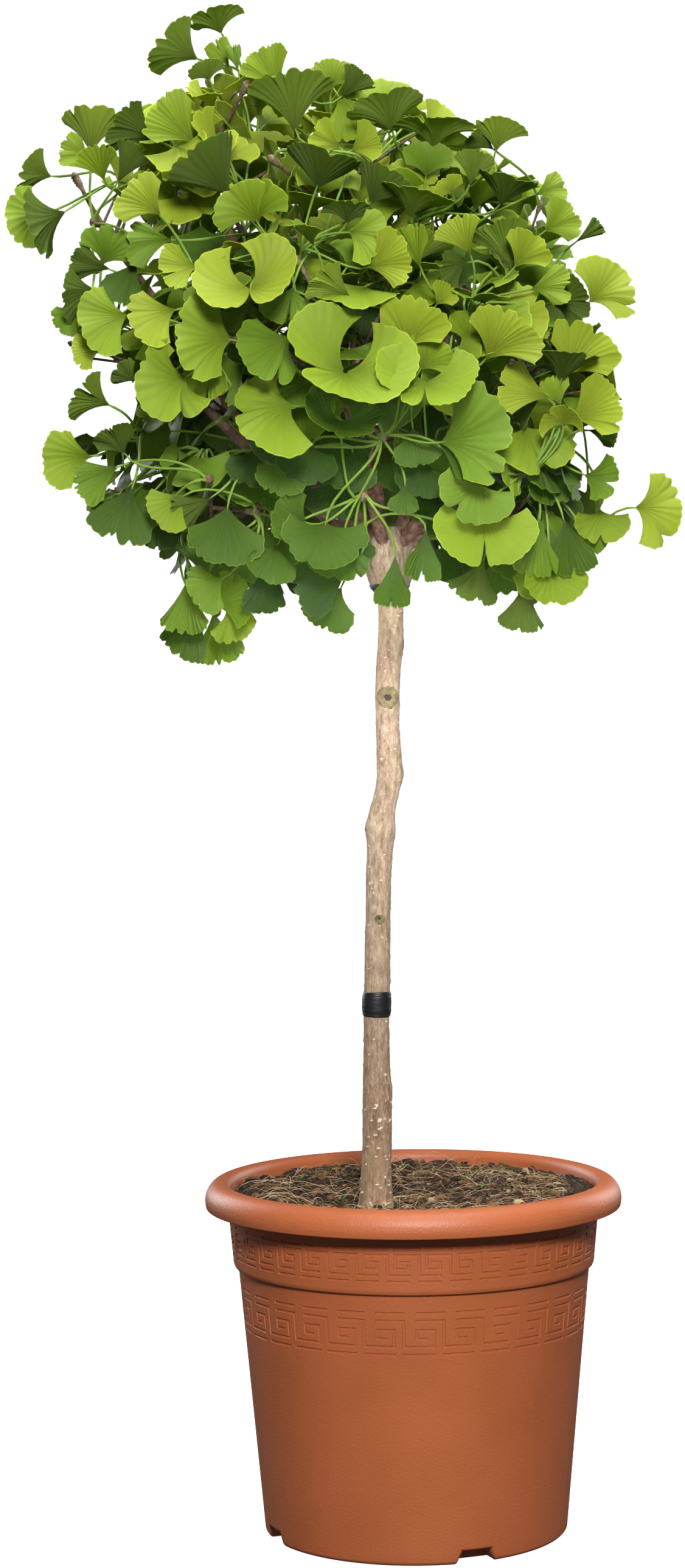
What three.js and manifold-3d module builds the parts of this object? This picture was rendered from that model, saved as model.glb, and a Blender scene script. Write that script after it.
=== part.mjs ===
// A grafted dwarf ginkgo grown as a standard: a clear stem, a swollen graft, a round head of
// fan-shaped leaves, and a terracotta-coloured plastic pot. Millimetres, +Z up. The origin is the
// middle of the pot's flat underside, +X is to the right and -Y is to the front.
import * as THREE from 'three';
import { mergeVertices } from 'three/addons/utils/BufferGeometryUtils.js';
import Module from 'manifold-3d';

const wasm = await Module();
wasm.setup();

// ---------------------------------------------------------------- driving dimensions
const GAP = 0.3; // kept between neighbouring solids
const SHORTEST_EDGE = 0.02; // shorter ones are taken out where leaves are fused

const POT_HEIGHT = 296.2;
const RIM_RADIUS = 175; // widest, round the rolled lip
const MOUTH_RADIUS = 154; // inside the lip
const LIP_HEIGHT = 21.6; // from the lip's underside to its crest
const COLLAR_RADIUS = 155.6; // under the lip
const COLLAR_FOOT_RADIUS = 151.6;
const STEP_HEIGHT = 225.5; // where the collar steps in to the body
const BODY_RADIUS = 147.6; // just under the step
const BASE_RADIUS = 127;
const WALL = 4;
const FLOOR = 6;
const CHAMFER = 2.5; // round the base's edge
const POT_SIDES = 36;
const NOTCH = { count: 4, bearing: -68.6, top: 26, foot: 37, height: 12, depth: 20 };

const SOIL_SEAT = 278; // height of the soil where the trunk stands
const SOIL_RISE = 8.6; // how much higher it is heaped against the pot
const SOIL_FLAT = 44; // flat round the trunk's foot
const SOIL_SLOPE = 60; // how far from there until it is fully heaped
const SOIL_LUMP = 0.8;
const SOIL_RINGS = [1, 0.8, 0.6, 0.4, 0.2]; // shares of the soil's radius

const TRUNK_SIDES = 12;
const TRUNK_FOOT = { x: -31.7, y: -44 };
const TRUNK_HEAD_Y = -41;
// [height, sideways place, radius]: the stem leans to the right, with a jog at its knee
const TRUNK_COURSE = [
  [SOIL_SEAT + GAP, -31.7, 12.4],
  [344, -29.9, 12.1],
  [422, -29.6, 10.6],
  [546, -27.0, 10.2],
  [592, -24.8, 10.4],
  [638, -17.2, 10.0],
  [702, -17.9, 9.7],
  [770, -14.0, 10.2],
  [845, -15.6, 10.4],
];
const FLARE = { swell: 2.8, height: 10 }; // root flare over the soil
const KNEE = { height: 592, swell: 1.9, half: 11 };
const GRAFT = { height: 814, radius: 18.6, half: 30, power: 2.6, cut: 2.5 }; // flat cut at its top
// pruning scars and old buds: height, bearing in degrees, how far they stand out, half size
const KNOTS = [
  { height: 701, bearing: -88, swell: 1.8, half: 11 },
  { height: 519, bearing: -84, swell: 1.2, half: 8 },
  { height: 638, bearing: -8, swell: 1.9, half: 8 },
  { height: 377, bearing: -20, swell: 1.3, half: 8 },
  { height: 744, bearing: 0, swell: 1.6, half: 9 },
];
const FOOT_RINGS = [GAP, 6, 16, 32]; // heights over the soil's seat of the trunk's first rings
const RING_STEP = 28; // between the plain stem's rings
const GRAFT_RING_STEP = 7;
const CLOSEST_RINGS = 3.2;

const TIE_THICKNESS = 1.1;
const TIES = [
  { name: 'tie_lower', low: 438, high: 458 },
  { name: 'tie_upper', low: 780, high: 794 },
];

const BOUGH_SIDES = 5;
const BOUGH_STEPS = 4;
const BOUGH_RADIUS = { start: 5.4, end: 3.5 }; // boughs that rise from the graft
const FORK_RADIUS = { start: 4.2, end: 3.0 }; // boughs that fork from another bough
const LEAVING = { steepWithin: 50, wideBeyond: 200 }; // how level a bough leaves, by its way out
const WIDE_START = { out: 4, rise: -6 }; // from the graft's middle
const STEEP_START = { out: 7, rise: 16 };
const RISING_BOW = { out: 0.42, rise: 0.38 }; // where a bough bends, as shares of its way
const FORK_BOW = { share: 0.45, lift: 6 };
const STEM_INSIDE = { usual: 44, share: 0.5 }; // how far short of a mass's heart its bough ends

const SEED = 11;
const CROWN_CORE = [-35, -42, 925]; // the leaves face away from here
const CELL_MARGIN = 1.6; // each mass stays this far inside its own space
const LIMB_CLEARANCE = 3;
const LOWEST_LEAF = 640; // no foliage hangs lower than this
const STEM_RADIUS = { start: 3.4, end: 2.4 };
const STEM_ENTRY = 30; // straight on from the bough's end before the stem bends
const STEM_END = { past: 16, lift: 10 }; // beyond the mass's heart
const STEM_SHARES = [0, 0.34, 0.67, 1];
const TWIG_RADIUS = { start: 2.6, end: 2.1 };
const SPUR = { length: 9, radius: 5.6, most: 8 }; // a knobbly short shoot with its leaves
const SPURS = 5; // on a mass's twigs, beside the one at its stem's end
const TWIG_ATTEMPTS = 4;
const TWIG_MARGIN = 10; // its end stays this far inside the mass's own space
const TWIG_SHORTEST = 18;
const BARE_FOOT = 14; // of a stem, where no twig forks
const FORK_ROOM = 2; // beside the stem, before a twig's clearance counts
const FORK_SHARES = [0.1, 0.4, 0.7, 0.95]; // where twigs may fork on each length of wood
const TWIG_REACH = 0.62; // how far twigs go out, as a share of the mass's reach
const CANDIDATES = 16; // places tried for each twig's end, of which the emptiest is taken
const ATTEMPTS = 200; // leaves tried for each one kept, of which the furthest from the rest is taken
const MOST_LEAVES = 27; // on one mass, beside those at its furthest tips
const LEAF_SPACING = 25; // between the middles of the blades

// a petiole's root is sunk under its spur's tip and set beside the spur's axis
const PETIOLE = { shortest: 26, usual: 60, longest: 92, radius: 1.25, sunk: 3.5, beside: 1.6 };
const BLADE = { smallest: 39, largest: 50, thickness: 2.25, middle: 0.55 };
const WOOD_CLEARANCE = 1.4; // between a leaf and its own mass's wood, beside the stem's radius
const LEAST_ROOM = 1.5; // more than the margin, for the petiole's thickness
// the fan's corners, lobes and notch: across, along and lifted, in blade sizes
const FAN = [
  [-0.95, 0.3, 1],
  [-0.56, 0.95, 0.4],
  [0, 0.74, -0.1],
  [0.56, 0.95, 0.4],
  [0.95, 0.3, 1],
];

// Each mass of foliage: the heart of its space, how far its leaves reach from there, the bough
// it grows on, and the furthest tips that the crown's outline has there. A bough rises from the
// graft, or forks from another bough part of the way along.
const MASSES = [
  { name: 'upper_middle', heart: [-48, -82, 1106], reach: 118,
    tips: [[-30, -60, 1221], [-101, -70, 1218]] },
  { name: 'upper_left', heart: [-165, -35, 1135], reach: 125,
    tips: [[-197, -40, 1271], [-220, -40, 1223], [-266, -40, 1174]] },
  { name: 'upper_right', heart: [54, -20, 1072], reach: 112,
    tips: [[95, -40, 1170], [133, -40, 1118], [77, -60, 1146]] },
  { name: 'upper_back', from: 'upper_middle', leave: 0.45, heart: [-62, 66, 1095], reach: 122,
    tips: [] },
  { name: 'front', heart: [-58, -165, 975], reach: 130, tips: [] },
  { name: 'front_right', heart: [80, -122, 955], reach: 115, tips: [[176, -70, 921]] },
  { name: 'left', heart: [-195, -50, 970], reach: 113,
    tips: [[-288, -40, 1026], [-274, -40, 976], [-300, -40, 902]] },
  { name: 'right', heart: [110, 5, 920], reach: 114,
    tips: [[184, -30, 1025], [227, -30, 841], [216, -40, 871]] },
  { name: 'back_left', heart: [-128, 88, 950], reach: 128, tips: [] },
  { name: 'back_right', heart: [28, 108, 945], reach: 125, tips: [] },
  { name: 'left_spray', from: 'left', leave: 0.62, heart: [-256, -40, 1100], reach: 78,
    tips: [[-329, -40, 1101], [-313, -50, 1076], [-295, -30, 1150]] },
  { name: 'lower_left', from: 'left', leave: 0.45, heart: [-160, -80, 838], reach: 108,
    tips: [[-198, -60, 746], [-164, -75, 733], [-128, -70, 750], [-254, -60, 851], [-88, -80, 776]] },
  { name: 'lower_right', from: 'front_right', leave: 0.16, heart: [62, -72, 832], reach: 90,
    tips: [[62, -80, 753], [102, -80, 767], [129, -60, 797]] },
];

// How a blade faces and a petiole leaves its spur: weights of the directions that share in it.
const FACING = { outward: 0.85, up: 0.5, disorder: 0.9 };
const LEAVES_OUT = { spur: 0.5, outward: 0.5, hang: 0.3, wander: 0.6 };
const HANG = { low: 0.85, high: -0.25, from: 800, over: 330, least: 0.3 }; // by height in the crown
const CUP = { least: 0.06, most: 0.3 }; // how far a blade's corners are lifted, in blade sizes
const AIMED = { smaller: 0.8, reach: 0.95, disorder: 1.6, cup: 0.12, outward: 0.5, spurs: 3 };

const COLOURS = {
  pot: 0xb4532f,
  soil: 0x3d2c20,
  bark: 0xa88b6c,
  bough: 0x7c5440,
  tape: 0x161616,
  leaf: 0x86a832,
};

// ---------------------------------------------------------------- small vector helpers
const vec = ([x, y, z]) => new THREE.Vector3(x, y, z);
const UP = new THREE.Vector3(0, 0, 1);

function along(start, direction, distance) {
  return start.clone().addScaledVector(direction, distance);
}

function mix(a, b, t) {
  return a + (b - a) * t;
}

function smooth(t) {
  const held = Math.min(Math.max(t, 0), 1);
  return held * held * (3 - 2 * held);
}

function bearingOf(degrees) {
  return (degrees * Math.PI) / 180;
}

// Two directions square to the given one and to each other.
function squareTo(direction) {
  const helper = Math.abs(direction.z) < 0.9 ? UP : new THREE.Vector3(1, 0, 0);
  const first = new THREE.Vector3().crossVectors(direction, helper).normalize();
  const second = new THREE.Vector3().crossVectors(direction, first).normalize();
  return [first, second];
}

function bend(start, middle, end, t) {
  const point = start.clone().multiplyScalar((1 - t) * (1 - t));
  point.addScaledVector(middle, 2 * t * (1 - t));
  return point.addScaledVector(end, t * t);
}

// Random numbers from 0 to 1 that depend only on the keys.
function seeded(...keys) {
  let state = 2166136261;
  for (const key of keys) state = Math.imul(state ^ key, 16777619) >>> 0;
  return () => {
    state = (state + 0x6d2b79f5) >>> 0;
    let value = state;
    value = Math.imul(value ^ (value >>> 15), value | 1);
    value ^= value + Math.imul(value ^ (value >>> 7), value | 61);
    return ((value ^ (value >>> 14)) >>> 0) / 4294967296;
  };
}

// ---------------------------------------------------------------- solids
function toSolid(geometry) {
  const bare = new THREE.BufferGeometry();
  bare.setAttribute('position', geometry.getAttribute('position'));
  if (geometry.index) bare.setIndex(geometry.index);
  const merged = mergeVertices(bare, 1e-4);
  const corners = [];
  const index = merged.index.array;
  for (let i = 0; i < index.length; i += 3) {
    const [a, b, c] = [index[i], index[i + 1], index[i + 2]];
    if (a !== b && b !== c && c !== a) corners.push(a, b, c);
  }
  return new wasm.Manifold(
    new wasm.Mesh({
      numProp: 3,
      vertProperties: new Float32Array(merged.attributes.position.array),
      triVerts: new Uint32Array(corners),
    }),
  );
}

function toGeometry(solid) {
  const mesh = solid.getMesh();
  const positions = new Float32Array(mesh.numVert * 3);
  for (let i = 0; i < mesh.numVert; i += 1) {
    const start = i * mesh.numProp;
    positions.set(mesh.vertProperties.subarray(start, start + 3), i * 3);
  }
  const geometry = new THREE.BufferGeometry();
  geometry.setAttribute('position', new THREE.BufferAttribute(positions, 3));
  geometry.setIndex(new THREE.BufferAttribute(mesh.triVerts, 1));
  geometry.computeVertexNormals();
  return geometry;
}

// The biggest body of a solid: sealed hollows are filled and loose scraps dropped.
function mainBody(solid) {
  const bodies = solid.decompose();
  return bodies.reduce((best, body) => (body.volume() > best.volume() ? body : best));
}

// A closed skin over rings of points that all have the same number of corners.
function skin(rings) {
  const sides = rings[0].length;
  const positions = rings.flat().flatMap((point) => [point.x, point.y, point.z]);
  const index = [];
  for (let r = 0; r + 1 < rings.length; r += 1) {
    for (let k = 0; k < sides; k += 1) {
      const next = (k + 1) % sides;
      const [a, b] = [r * sides + k, r * sides + next];
      const [c, d] = [a + sides, b + sides];
      index.push(a, b, d, a, d, c);
    }
  }
  const last = (rings.length - 1) * sides;
  for (let k = 1; k + 1 < sides; k += 1) {
    index.push(0, k + 1, k);
    index.push(last, last + k, last + k + 1);
  }
  const geometry = new THREE.BufferGeometry();
  geometry.setAttribute('position', new THREE.Float32BufferAttribute(positions, 3));
  geometry.setIndex(index);
  return geometry;
}

function ring(centre, direction, radius, sides) {
  const [first, second] = squareTo(direction);
  return Array.from({ length: sides }, (_, k) => {
    const angle = (2 * Math.PI * k) / sides;
    const point = along(centre, first, radius * Math.cos(angle));
    return point.addScaledVector(second, radius * Math.sin(angle));
  });
}

// A limb along the points of its centre line, with a radius at each point.
function limb(points, radii, sides) {
  const last = points.length - 1;
  const rings = points.map((point, i) => {
    const ahead = points[Math.min(i + 1, last)];
    const behind = points[Math.max(i - 1, 0)];
    return ring(point, ahead.clone().sub(behind).normalize(), radii[i], sides);
  });
  return toSolid(skin(untwisted(rings)));
}

function taper(points, { start, end }, grown = 0) {
  return points.map((_, i) => mix(start, end, i / (points.length - 1)) + grown);
}

// Turns each ring to start at the corner nearest to the last ring's first corner.
function untwisted(rings) {
  for (let r = 1; r < rings.length; r += 1) {
    const wanted = rings[r - 1][0].clone().sub(centreOf(rings[r - 1])).add(centreOf(rings[r]));
    const distances = rings[r].map((corner) => corner.distanceTo(wanted));
    const nearest = distances.indexOf(Math.min(...distances));
    rings[r] = [...rings[r].slice(nearest), ...rings[r].slice(0, nearest)];
  }
  return rings;
}

function centreOf(points) {
  const sum = points.reduce((total, point) => total.add(point), new THREE.Vector3());
  return sum.divideScalar(points.length);
}

// ---------------------------------------------------------------- pot
function bodyRadius(height) {
  return mix(BASE_RADIUS, BODY_RADIUS, height / STEP_HEIGHT);
}

function potProfile() {
  const lipFoot = POT_HEIGHT - LIP_HEIGHT;
  const outside = [
    [0, 0],
    [BASE_RADIUS - CHAMFER, 0],
    [bodyRadius(CHAMFER), CHAMFER],
    [bodyRadius(STEP_HEIGHT - 2), STEP_HEIGHT - 2],
    [COLLAR_FOOT_RADIUS - 2, STEP_HEIGHT],
    [COLLAR_FOOT_RADIUS, STEP_HEIGHT + 3.5],
    [COLLAR_RADIUS, lipFoot - 2],
    [RIM_RADIUS - 3.5, lipFoot],
    [RIM_RADIUS - 0.6, lipFoot + 4],
    [RIM_RADIUS, lipFoot + 10],
    [RIM_RADIUS - 2, lipFoot + 16],
    [RIM_RADIUS - 10, POT_HEIGHT],
  ];
  const inside = [
    [MOUTH_RADIUS + 3.5, POT_HEIGHT],
    [MOUTH_RADIUS, POT_HEIGHT - 3],
    [COLLAR_RADIUS - WALL, lipFoot - 2],
    [COLLAR_FOOT_RADIUS - WALL, STEP_HEIGHT + 3.5],
    [bodyRadius(STEP_HEIGHT - 2) - WALL, STEP_HEIGHT - 4],
    [bodyRadius(FLOOR + 4) - WALL, FLOOR + 4],
    [bodyRadius(FLOOR) - WALL - 3, FLOOR],
    [0, FLOOR],
  ];
  return { outside, inside };
}

// The radius of the pot's inside at a height, between the corners of its profile.
function insideRadius(height) {
  const { inside } = potProfile();
  for (let i = 1; i < inside.length; i += 1) {
    const [[radiusAbove, above], [radiusBelow, below]] = [inside[i - 1], inside[i]];
    if (height >= below && above > below) {
      return mix(radiusBelow, radiusAbove, (height - below) / (above - below));
    }
  }
  return 0;
}

// The drainage notches cut in from the base's edge; `grow` makes the housing round each one.
function notchSolids(grow) {
  return Array.from({ length: NOTCH.count }, (_, k) => {
    const shape = new THREE.Shape();
    const foot = grow > 0 ? 0 : -1;
    shape.moveTo(-NOTCH.foot / 2 - grow, foot);
    shape.lineTo(NOTCH.foot / 2 + grow, foot);
    shape.lineTo(NOTCH.top / 2 + grow, NOTCH.height + grow);
    shape.lineTo(-NOTCH.top / 2 - grow, NOTCH.height + grow);
    shape.closePath();
    const reach = grow > 0 ? -WALL / 2 : 10;
    const length = NOTCH.depth + grow + reach;
    const block = new THREE.ExtrudeGeometry(shape, { depth: length, bevelEnabled: false });
    block.rotateX(Math.PI / 2);
    block.translate(0, BASE_RADIUS + reach, 0);
    block.rotateZ(bearingOf(NOTCH.bearing + (360 / NOTCH.count) * k - 90));
    return toSolid(block);
  });
}

function potSolid() {
  const { outside, inside } = potProfile();
  const profile = [...outside, ...inside].map(([radius, height]) => new THREE.Vector2(radius, height));
  const lathe = new THREE.LatheGeometry(profile, POT_SIDES);
  lathe.rotateX(Math.PI / 2);
  let pot = toSolid(lathe);
  for (const housing of notchSolids(WALL)) pot = pot.add(housing);
  for (const notch of notchSolids(0)) pot = pot.subtract(notch);
  return mainBody(pot);
}

// ---------------------------------------------------------------- soil
function soilHeight(x, y) {
  const away = Math.hypot(x - TRUNK_FOOT.x, y - TRUNK_FOOT.y);
  const rise = smooth((away - SOIL_FLAT) / SOIL_SLOPE);
  const lumps = Math.sin(x * 0.09 + 1) * Math.cos(y * 0.11) + Math.sin((x + y) * 0.05);
  return SOIL_SEAT + rise * (SOIL_RISE + SOIL_LUMP * lumps);
}

function soilSolid() {
  const turn = (k) => (2 * Math.PI * k) / POT_SIDES;
  const circle = (radius, height) =>
    Array.from({ length: POT_SIDES }, (_, k) => {
      const [x, y] = [radius * Math.sin(turn(k)), -radius * Math.cos(turn(k))];
      return new THREE.Vector3(x, y, height === undefined ? soilHeight(x, y) : height);
    });
  const { inside } = potProfile();
  const wall = inside.filter(([radius, height]) => radius > 0 && height < SOIL_SEAT).reverse();
  const edge = insideRadius(SOIL_SEAT) - GAP;
  const rings = [
    ...wall.map(([radius, height]) => circle(radius - GAP, Math.max(height, FLOOR + GAP))),
    ...SOIL_RINGS.map((share) => circle(edge * share)),
  ];
  let soil = toSolid(skin(rings));
  for (const housing of notchSolids(WALL + GAP)) soil = soil.subtract(housing);
  return mainBody(soil);
}

// ---------------------------------------------------------------- trunk and ties
// The stem's sideways place and plain radius at a height, eased from station to station.
function trunkCourse(height) {
  const last = TRUNK_COURSE.length - 1;
  let i = 0;
  while (i < last - 1 && TRUNK_COURSE[i + 1][0] < height) i += 1;
  const [low, high] = [TRUNK_COURSE[i], TRUNK_COURSE[i + 1]];
  const t = smooth((height - low[0]) / (high[0] - low[0]));
  return { x: mix(low[1], high[1], t), radius: mix(low[2], high[2], t) };
}

function trunkCentre(height) {
  const share = (height - SOIL_SEAT) / (GRAFT.height - SOIL_SEAT);
  const y = mix(TRUNK_FOOT.y, TRUNK_HEAD_Y, share);
  return new THREE.Vector3(trunkCourse(height).x, y, height);
}

function trunkRadius(height, angle) {
  let radius = trunkCourse(height).radius;
  const foot = height - SOIL_SEAT;
  radius += FLARE.swell * Math.exp(-foot / FLARE.height) * (1 + 0.25 * Math.sin(3 * angle));
  radius += KNEE.swell * Math.exp(-(((height - KNEE.height) / KNEE.half) ** 2));
  for (const knot of KNOTS) {
    const turn = angle - bearingOf(knot.bearing);
    const across = 10 * Math.atan2(Math.sin(turn), Math.cos(turn));
    const distance = Math.hypot(height - knot.height, across) / knot.half;
    radius += knot.swell * Math.exp(-distance * distance);
  }
  const fromGraft = Math.abs(height - GRAFT.height) / GRAFT.half;
  if (fromGraft < 1) {
    const lumps = 1 + 0.05 * Math.sin(3 * angle + height * 0.07) + 0.04 * Math.sin(5 * angle);
    const swollen = GRAFT.radius * (1 - fromGraft ** GRAFT.power) ** (1 / GRAFT.power);
    radius = Math.max(height > GRAFT.height ? 0 : radius, swollen * lumps);
  }
  return radius;
}

function trunkHeights() {
  const top = GRAFT.height + GRAFT.half - GRAFT.cut;
  const graftFoot = GRAFT.height - GRAFT.half;
  const heights = FOOT_RINGS.map((height) => SOIL_SEAT + height);
  for (let z = heights.at(-1) + RING_STEP; z < graftFoot; z += RING_STEP) heights.push(z);
  for (let z = graftFoot; z < top; z += GRAFT_RING_STEP) heights.push(z);
  heights.push(top);
  for (const { height } of [KNEE, ...KNOTS]) heights.push(height);
  heights.sort((a, b) => a - b);
  return heights.filter((z, i) => i === 0 || z - heights[i - 1] > CLOSEST_RINGS);
}

function trunkSolid(grown) {
  const rings = trunkHeights().map((height) => {
    const centre = trunkCentre(height);
    return Array.from({ length: TRUNK_SIDES }, (_, k) => {
      const angle = (2 * Math.PI * k) / TRUNK_SIDES;
      const radius = trunkRadius(height, angle) + grown;
      return new THREE.Vector3(
        centre.x + radius * Math.cos(angle),
        centre.y + radius * Math.sin(angle),
        height,
      );
    });
  });
  const top = rings.at(-1);
  if (grown > 0) for (const point of top) point.z += grown;
  return toSolid(skin(rings));
}

// A band of tape wound round the stem.
function tieSolid({ low, high }) {
  const slab = new THREE.BoxGeometry(120, 120, high - low);
  const middle = trunkCentre((low + high) / 2);
  slab.translate(middle.x, middle.y, middle.z);
  const outer = trunkSolid(GAP + TIE_THICKNESS).intersect(toSolid(slab));
  return mainBody(outer.subtract(trunkSolid(GAP)));
}

// ---------------------------------------------------------------- boughs
function forkFrom(start, heart) {
  const middle = along(start, heart.clone().sub(start), FORK_BOW.share);
  middle.z += FORK_BOW.lift;
  return { start, middle };
}

// A bough from the graft leaves it low and level where it goes wide, and high where it is steep.
function riseTo(heart) {
  const start = trunkCentre(GRAFT.height);
  const outward = heart.clone().sub(start).setZ(0);
  const level = outward.length();
  outward.normalize();
  const steep = smooth((LEAVING.wideBeyond - level) / (LEAVING.wideBeyond - LEAVING.steepWithin));
  start.addScaledVector(outward, mix(WIDE_START.out, STEEP_START.out, steep));
  start.z += mix(WIDE_START.rise, STEEP_START.rise, steep);
  const middle = along(start, outward, level * RISING_BOW.out);
  middle.z += (heart.z - start.z) * RISING_BOW.rise;
  return { start, middle };
}

// The centre line of each mass's bough, from the graft or the bough it forks from.
function layBoughs() {
  const boughs = new Map();
  for (const mass of MASSES) {
    const heart = vec(mass.heart);
    const parent = boughs.get(mass.from);
    const { start, middle } = parent ? forkFrom(parent.at(mass.leave), heart) : riseTo(heart);
    const inside = Math.min(STEM_INSIDE.usual, STEM_INSIDE.share * start.distanceTo(heart));
    const end = along(heart, heart.clone().sub(middle).normalize(), -inside);
    const radii = parent ? FORK_RADIUS : BOUGH_RADIUS;
    const at = (t) => bend(start, middle, end, t);
    const points = Array.from({ length: BOUGH_STEPS + 1 }, (_, i) => at(i / BOUGH_STEPS));
    const forward = end.clone().sub(middle).normalize();
    boughs.set(mass.name, { at, points, radii, end, forward });
  }
  return boughs;
}

function boughSolids(boughs) {
  const solids = new Map();
  let taken = trunkSolid(GAP);
  const room = GAP / Math.cos(Math.PI / BOUGH_SIDES); // corners stand out by more than the sides do
  for (const [name, bough] of boughs) {
    const grown = limb(bough.points, taper(bough.points, bough.radii, room), BOUGH_SIDES);
    const plain = limb(bough.points, taper(bough.points, bough.radii), BOUGH_SIDES);
    solids.set(name, mainBody(plain.subtract(taken)));
    taken = taken.add(grown);
  }
  return solids;
}

// ---------------------------------------------------------------- foliage: room to grow in
function segmentDistance(p1, q1, p2, q2) {
  const d1 = q1.clone().sub(p1);
  const d2 = q2.clone().sub(p2);
  const r = p1.clone().sub(p2);
  const a = d1.dot(d1);
  const e = d2.dot(d2);
  const f = d2.dot(r);
  const c = d1.dot(r);
  const b = d1.dot(d2);
  const spread = a * e - b * b;
  const clamp = (value) => Math.min(Math.max(value, 0), 1);
  let s = spread > 1e-9 ? clamp((b * f - c * e) / spread) : 0;
  const t = clamp((b * s + f) / e);
  s = clamp((b * t - c) / a);
  return along(p1, d1, s).distanceTo(along(p2, d2, t));
}

function segmentHitsTriangle(p, q, [a, b, c]) {
  const line = q.clone().sub(p);
  const side1 = b.clone().sub(a);
  const side2 = c.clone().sub(a);
  const h = new THREE.Vector3().crossVectors(line, side2);
  const det = side1.dot(h);
  if (Math.abs(det) < 1e-9) return false;
  const s = p.clone().sub(a);
  const u = s.dot(h) / det;
  if (u < 0 || u > 1) return false;
  const k = new THREE.Vector3().crossVectors(s, side1);
  const v = line.dot(k) / det;
  if (v < 0 || u + v > 1) return false;
  const t = side2.dot(k) / det;
  return t >= 0 && t <= 1;
}

// The walls of a mass's own space lie half way to the other masses' hearts.
function cellWalls(mass) {
  const own = vec(mass.heart);
  return MASSES.filter((other) => other !== mass).map((other) => {
    const away = vec(other.heart).sub(own);
    return { out: away.clone().normalize(), distance: away.length() / 2 };
  });
}

function makeSpace(mass, limbs) {
  const heart = vec(mass.heart);
  const walls = cellWalls(mass);
  const inside = (point, margin) => {
    const from = point.clone().sub(heart);
    return walls.every((wall) => from.dot(wall.out) < wall.distance - margin);
  };
  const within = (point) => point.distanceTo(heart) < mass.reach;
  const clear = (p, q, room) =>
    limbs.every((one) => segmentDistance(p, q, one.from, one.to) > one.radius + room);
  const unpierced = (triangles) =>
    limbs.every((one) => !triangles.some((face) => segmentHitsTriangle(one.from, one.to, face)));
  return { heart, inside, within, clear, unpierced };
}

// Straight lengths that stand for the trunk and boughs when the foliage keeps clear of them.
function limbLengths(boughs) {
  const lengths = [];
  const heights = trunkHeights().filter((z) => z > LOWEST_LEAF);
  for (let i = 0; i + 1 < heights.length; i += 1) {
    const radius = Math.max(trunkRadius(heights[i], 0), trunkRadius(heights[i + 1], 0));
    lengths.push({ from: trunkCentre(heights[i]), to: trunkCentre(heights[i + 1]), radius });
  }
  for (const { points, radii } of boughs.values()) {
    for (let i = 0; i + 1 < points.length; i += 1) {
      const radius = mix(radii.start, radii.end, i / (points.length - 1));
      lengths.push({ from: points[i], to: points[i + 1], radius });
    }
  }
  return lengths;
}

// ---------------------------------------------------------------- foliage: wood
function randomIn(centre, radius, random) {
  const height = 2 * random() - 1;
  const turn = 2 * Math.PI * random();
  const level = Math.sqrt(1 - height * height);
  const direction = new THREE.Vector3(level * Math.cos(turn), level * Math.sin(turn), height);
  return along(centre, direction, radius * Math.cbrt(random()));
}

function nearestDistance(point, others) {
  return others.reduce((least, other) => Math.min(least, point.distanceTo(other)), Infinity);
}

// Of several random places in a mass, the one furthest from all that is there already.
function emptiestPlace(space, radius, margin, taken, random) {
  let best = { room: 0, point: null };
  for (let k = 0; k < CANDIDATES; k += 1) {
    const point = randomIn(space.heart, radius, random);
    if (!space.inside(point, margin)) continue;
    const room = nearestDistance(point, taken);
    if (room > best.room) best = { room, point };
  }
  return best;
}

// Where a new twig leaves the wood: near its end, and where it points onward.
function whereToFork(wood, end) {
  let best = { cost: Infinity };
  for (const { points } of wood) {
    for (let i = 0; i + 1 < points.length; i += 1) {
      const onward = points[i + 1].clone().sub(points[i]).normalize();
      for (const share of FORK_SHARES) {
        const origin = points[i].clone().lerp(points[i + 1], share);
        const toEnd = end.clone().sub(origin);
        const length = toEnd.length();
        const cost = length * (2 - toEnd.dot(onward) / length);
        const room = origin.distanceTo(wood[0].points[0]) > BARE_FOOT && length > TWIG_SHORTEST;
        if (room && cost < best.cost) best = { cost, origin };
      }
    }
  }
  return best.origin;
}

function growWood(mass, order, bough, space) {
  const start = along(bough.end, bough.forward, GAP);
  const finish = along(space.heart, bough.forward, STEM_END.past);
  finish.z += STEM_END.lift;
  const middle = along(start, bough.forward, STEM_ENTRY);
  const stem = STEM_SHARES.map((t) => bend(start, middle, finish, t));
  const wood = [{ points: stem, radii: STEM_RADIUS }];
  const spurs = [spurAt(finish, finish.clone().sub(stem[2]).normalize())];
  for (let k = 0; k < SPURS; k += 1) {
    const random = seeded(SEED, order, 1, k);
    for (let attempt = 0; attempt < TWIG_ATTEMPTS; attempt += 1) {
      const tips = spurs.map((spur) => spur.tip);
      const { point } = emptiestPlace(space, mass.reach * TWIG_REACH, TWIG_MARGIN, tips, random);
      const origin = point && whereToFork(wood, point);
      if (!origin) continue;
      const direction = point.clone().sub(origin).normalize();
      const spur = spurAt(point, direction);
      const left = along(origin, direction, STEM_RADIUS.start + FORK_ROOM);
      const room = SPUR.radius + 1;
      if (space.clear(left, spur.tip, room) && space.inside(spur.tip, room)) {
        wood.push({ points: [origin, point], radii: TWIG_RADIUS });
        spurs.push(spur);
        break;
      }
    }
  }
  return { wood, spurs };
}

function spurAt(foot, axis) {
  return { axis, tip: along(foot, axis, SPUR.length), leaves: 0 };
}

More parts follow.
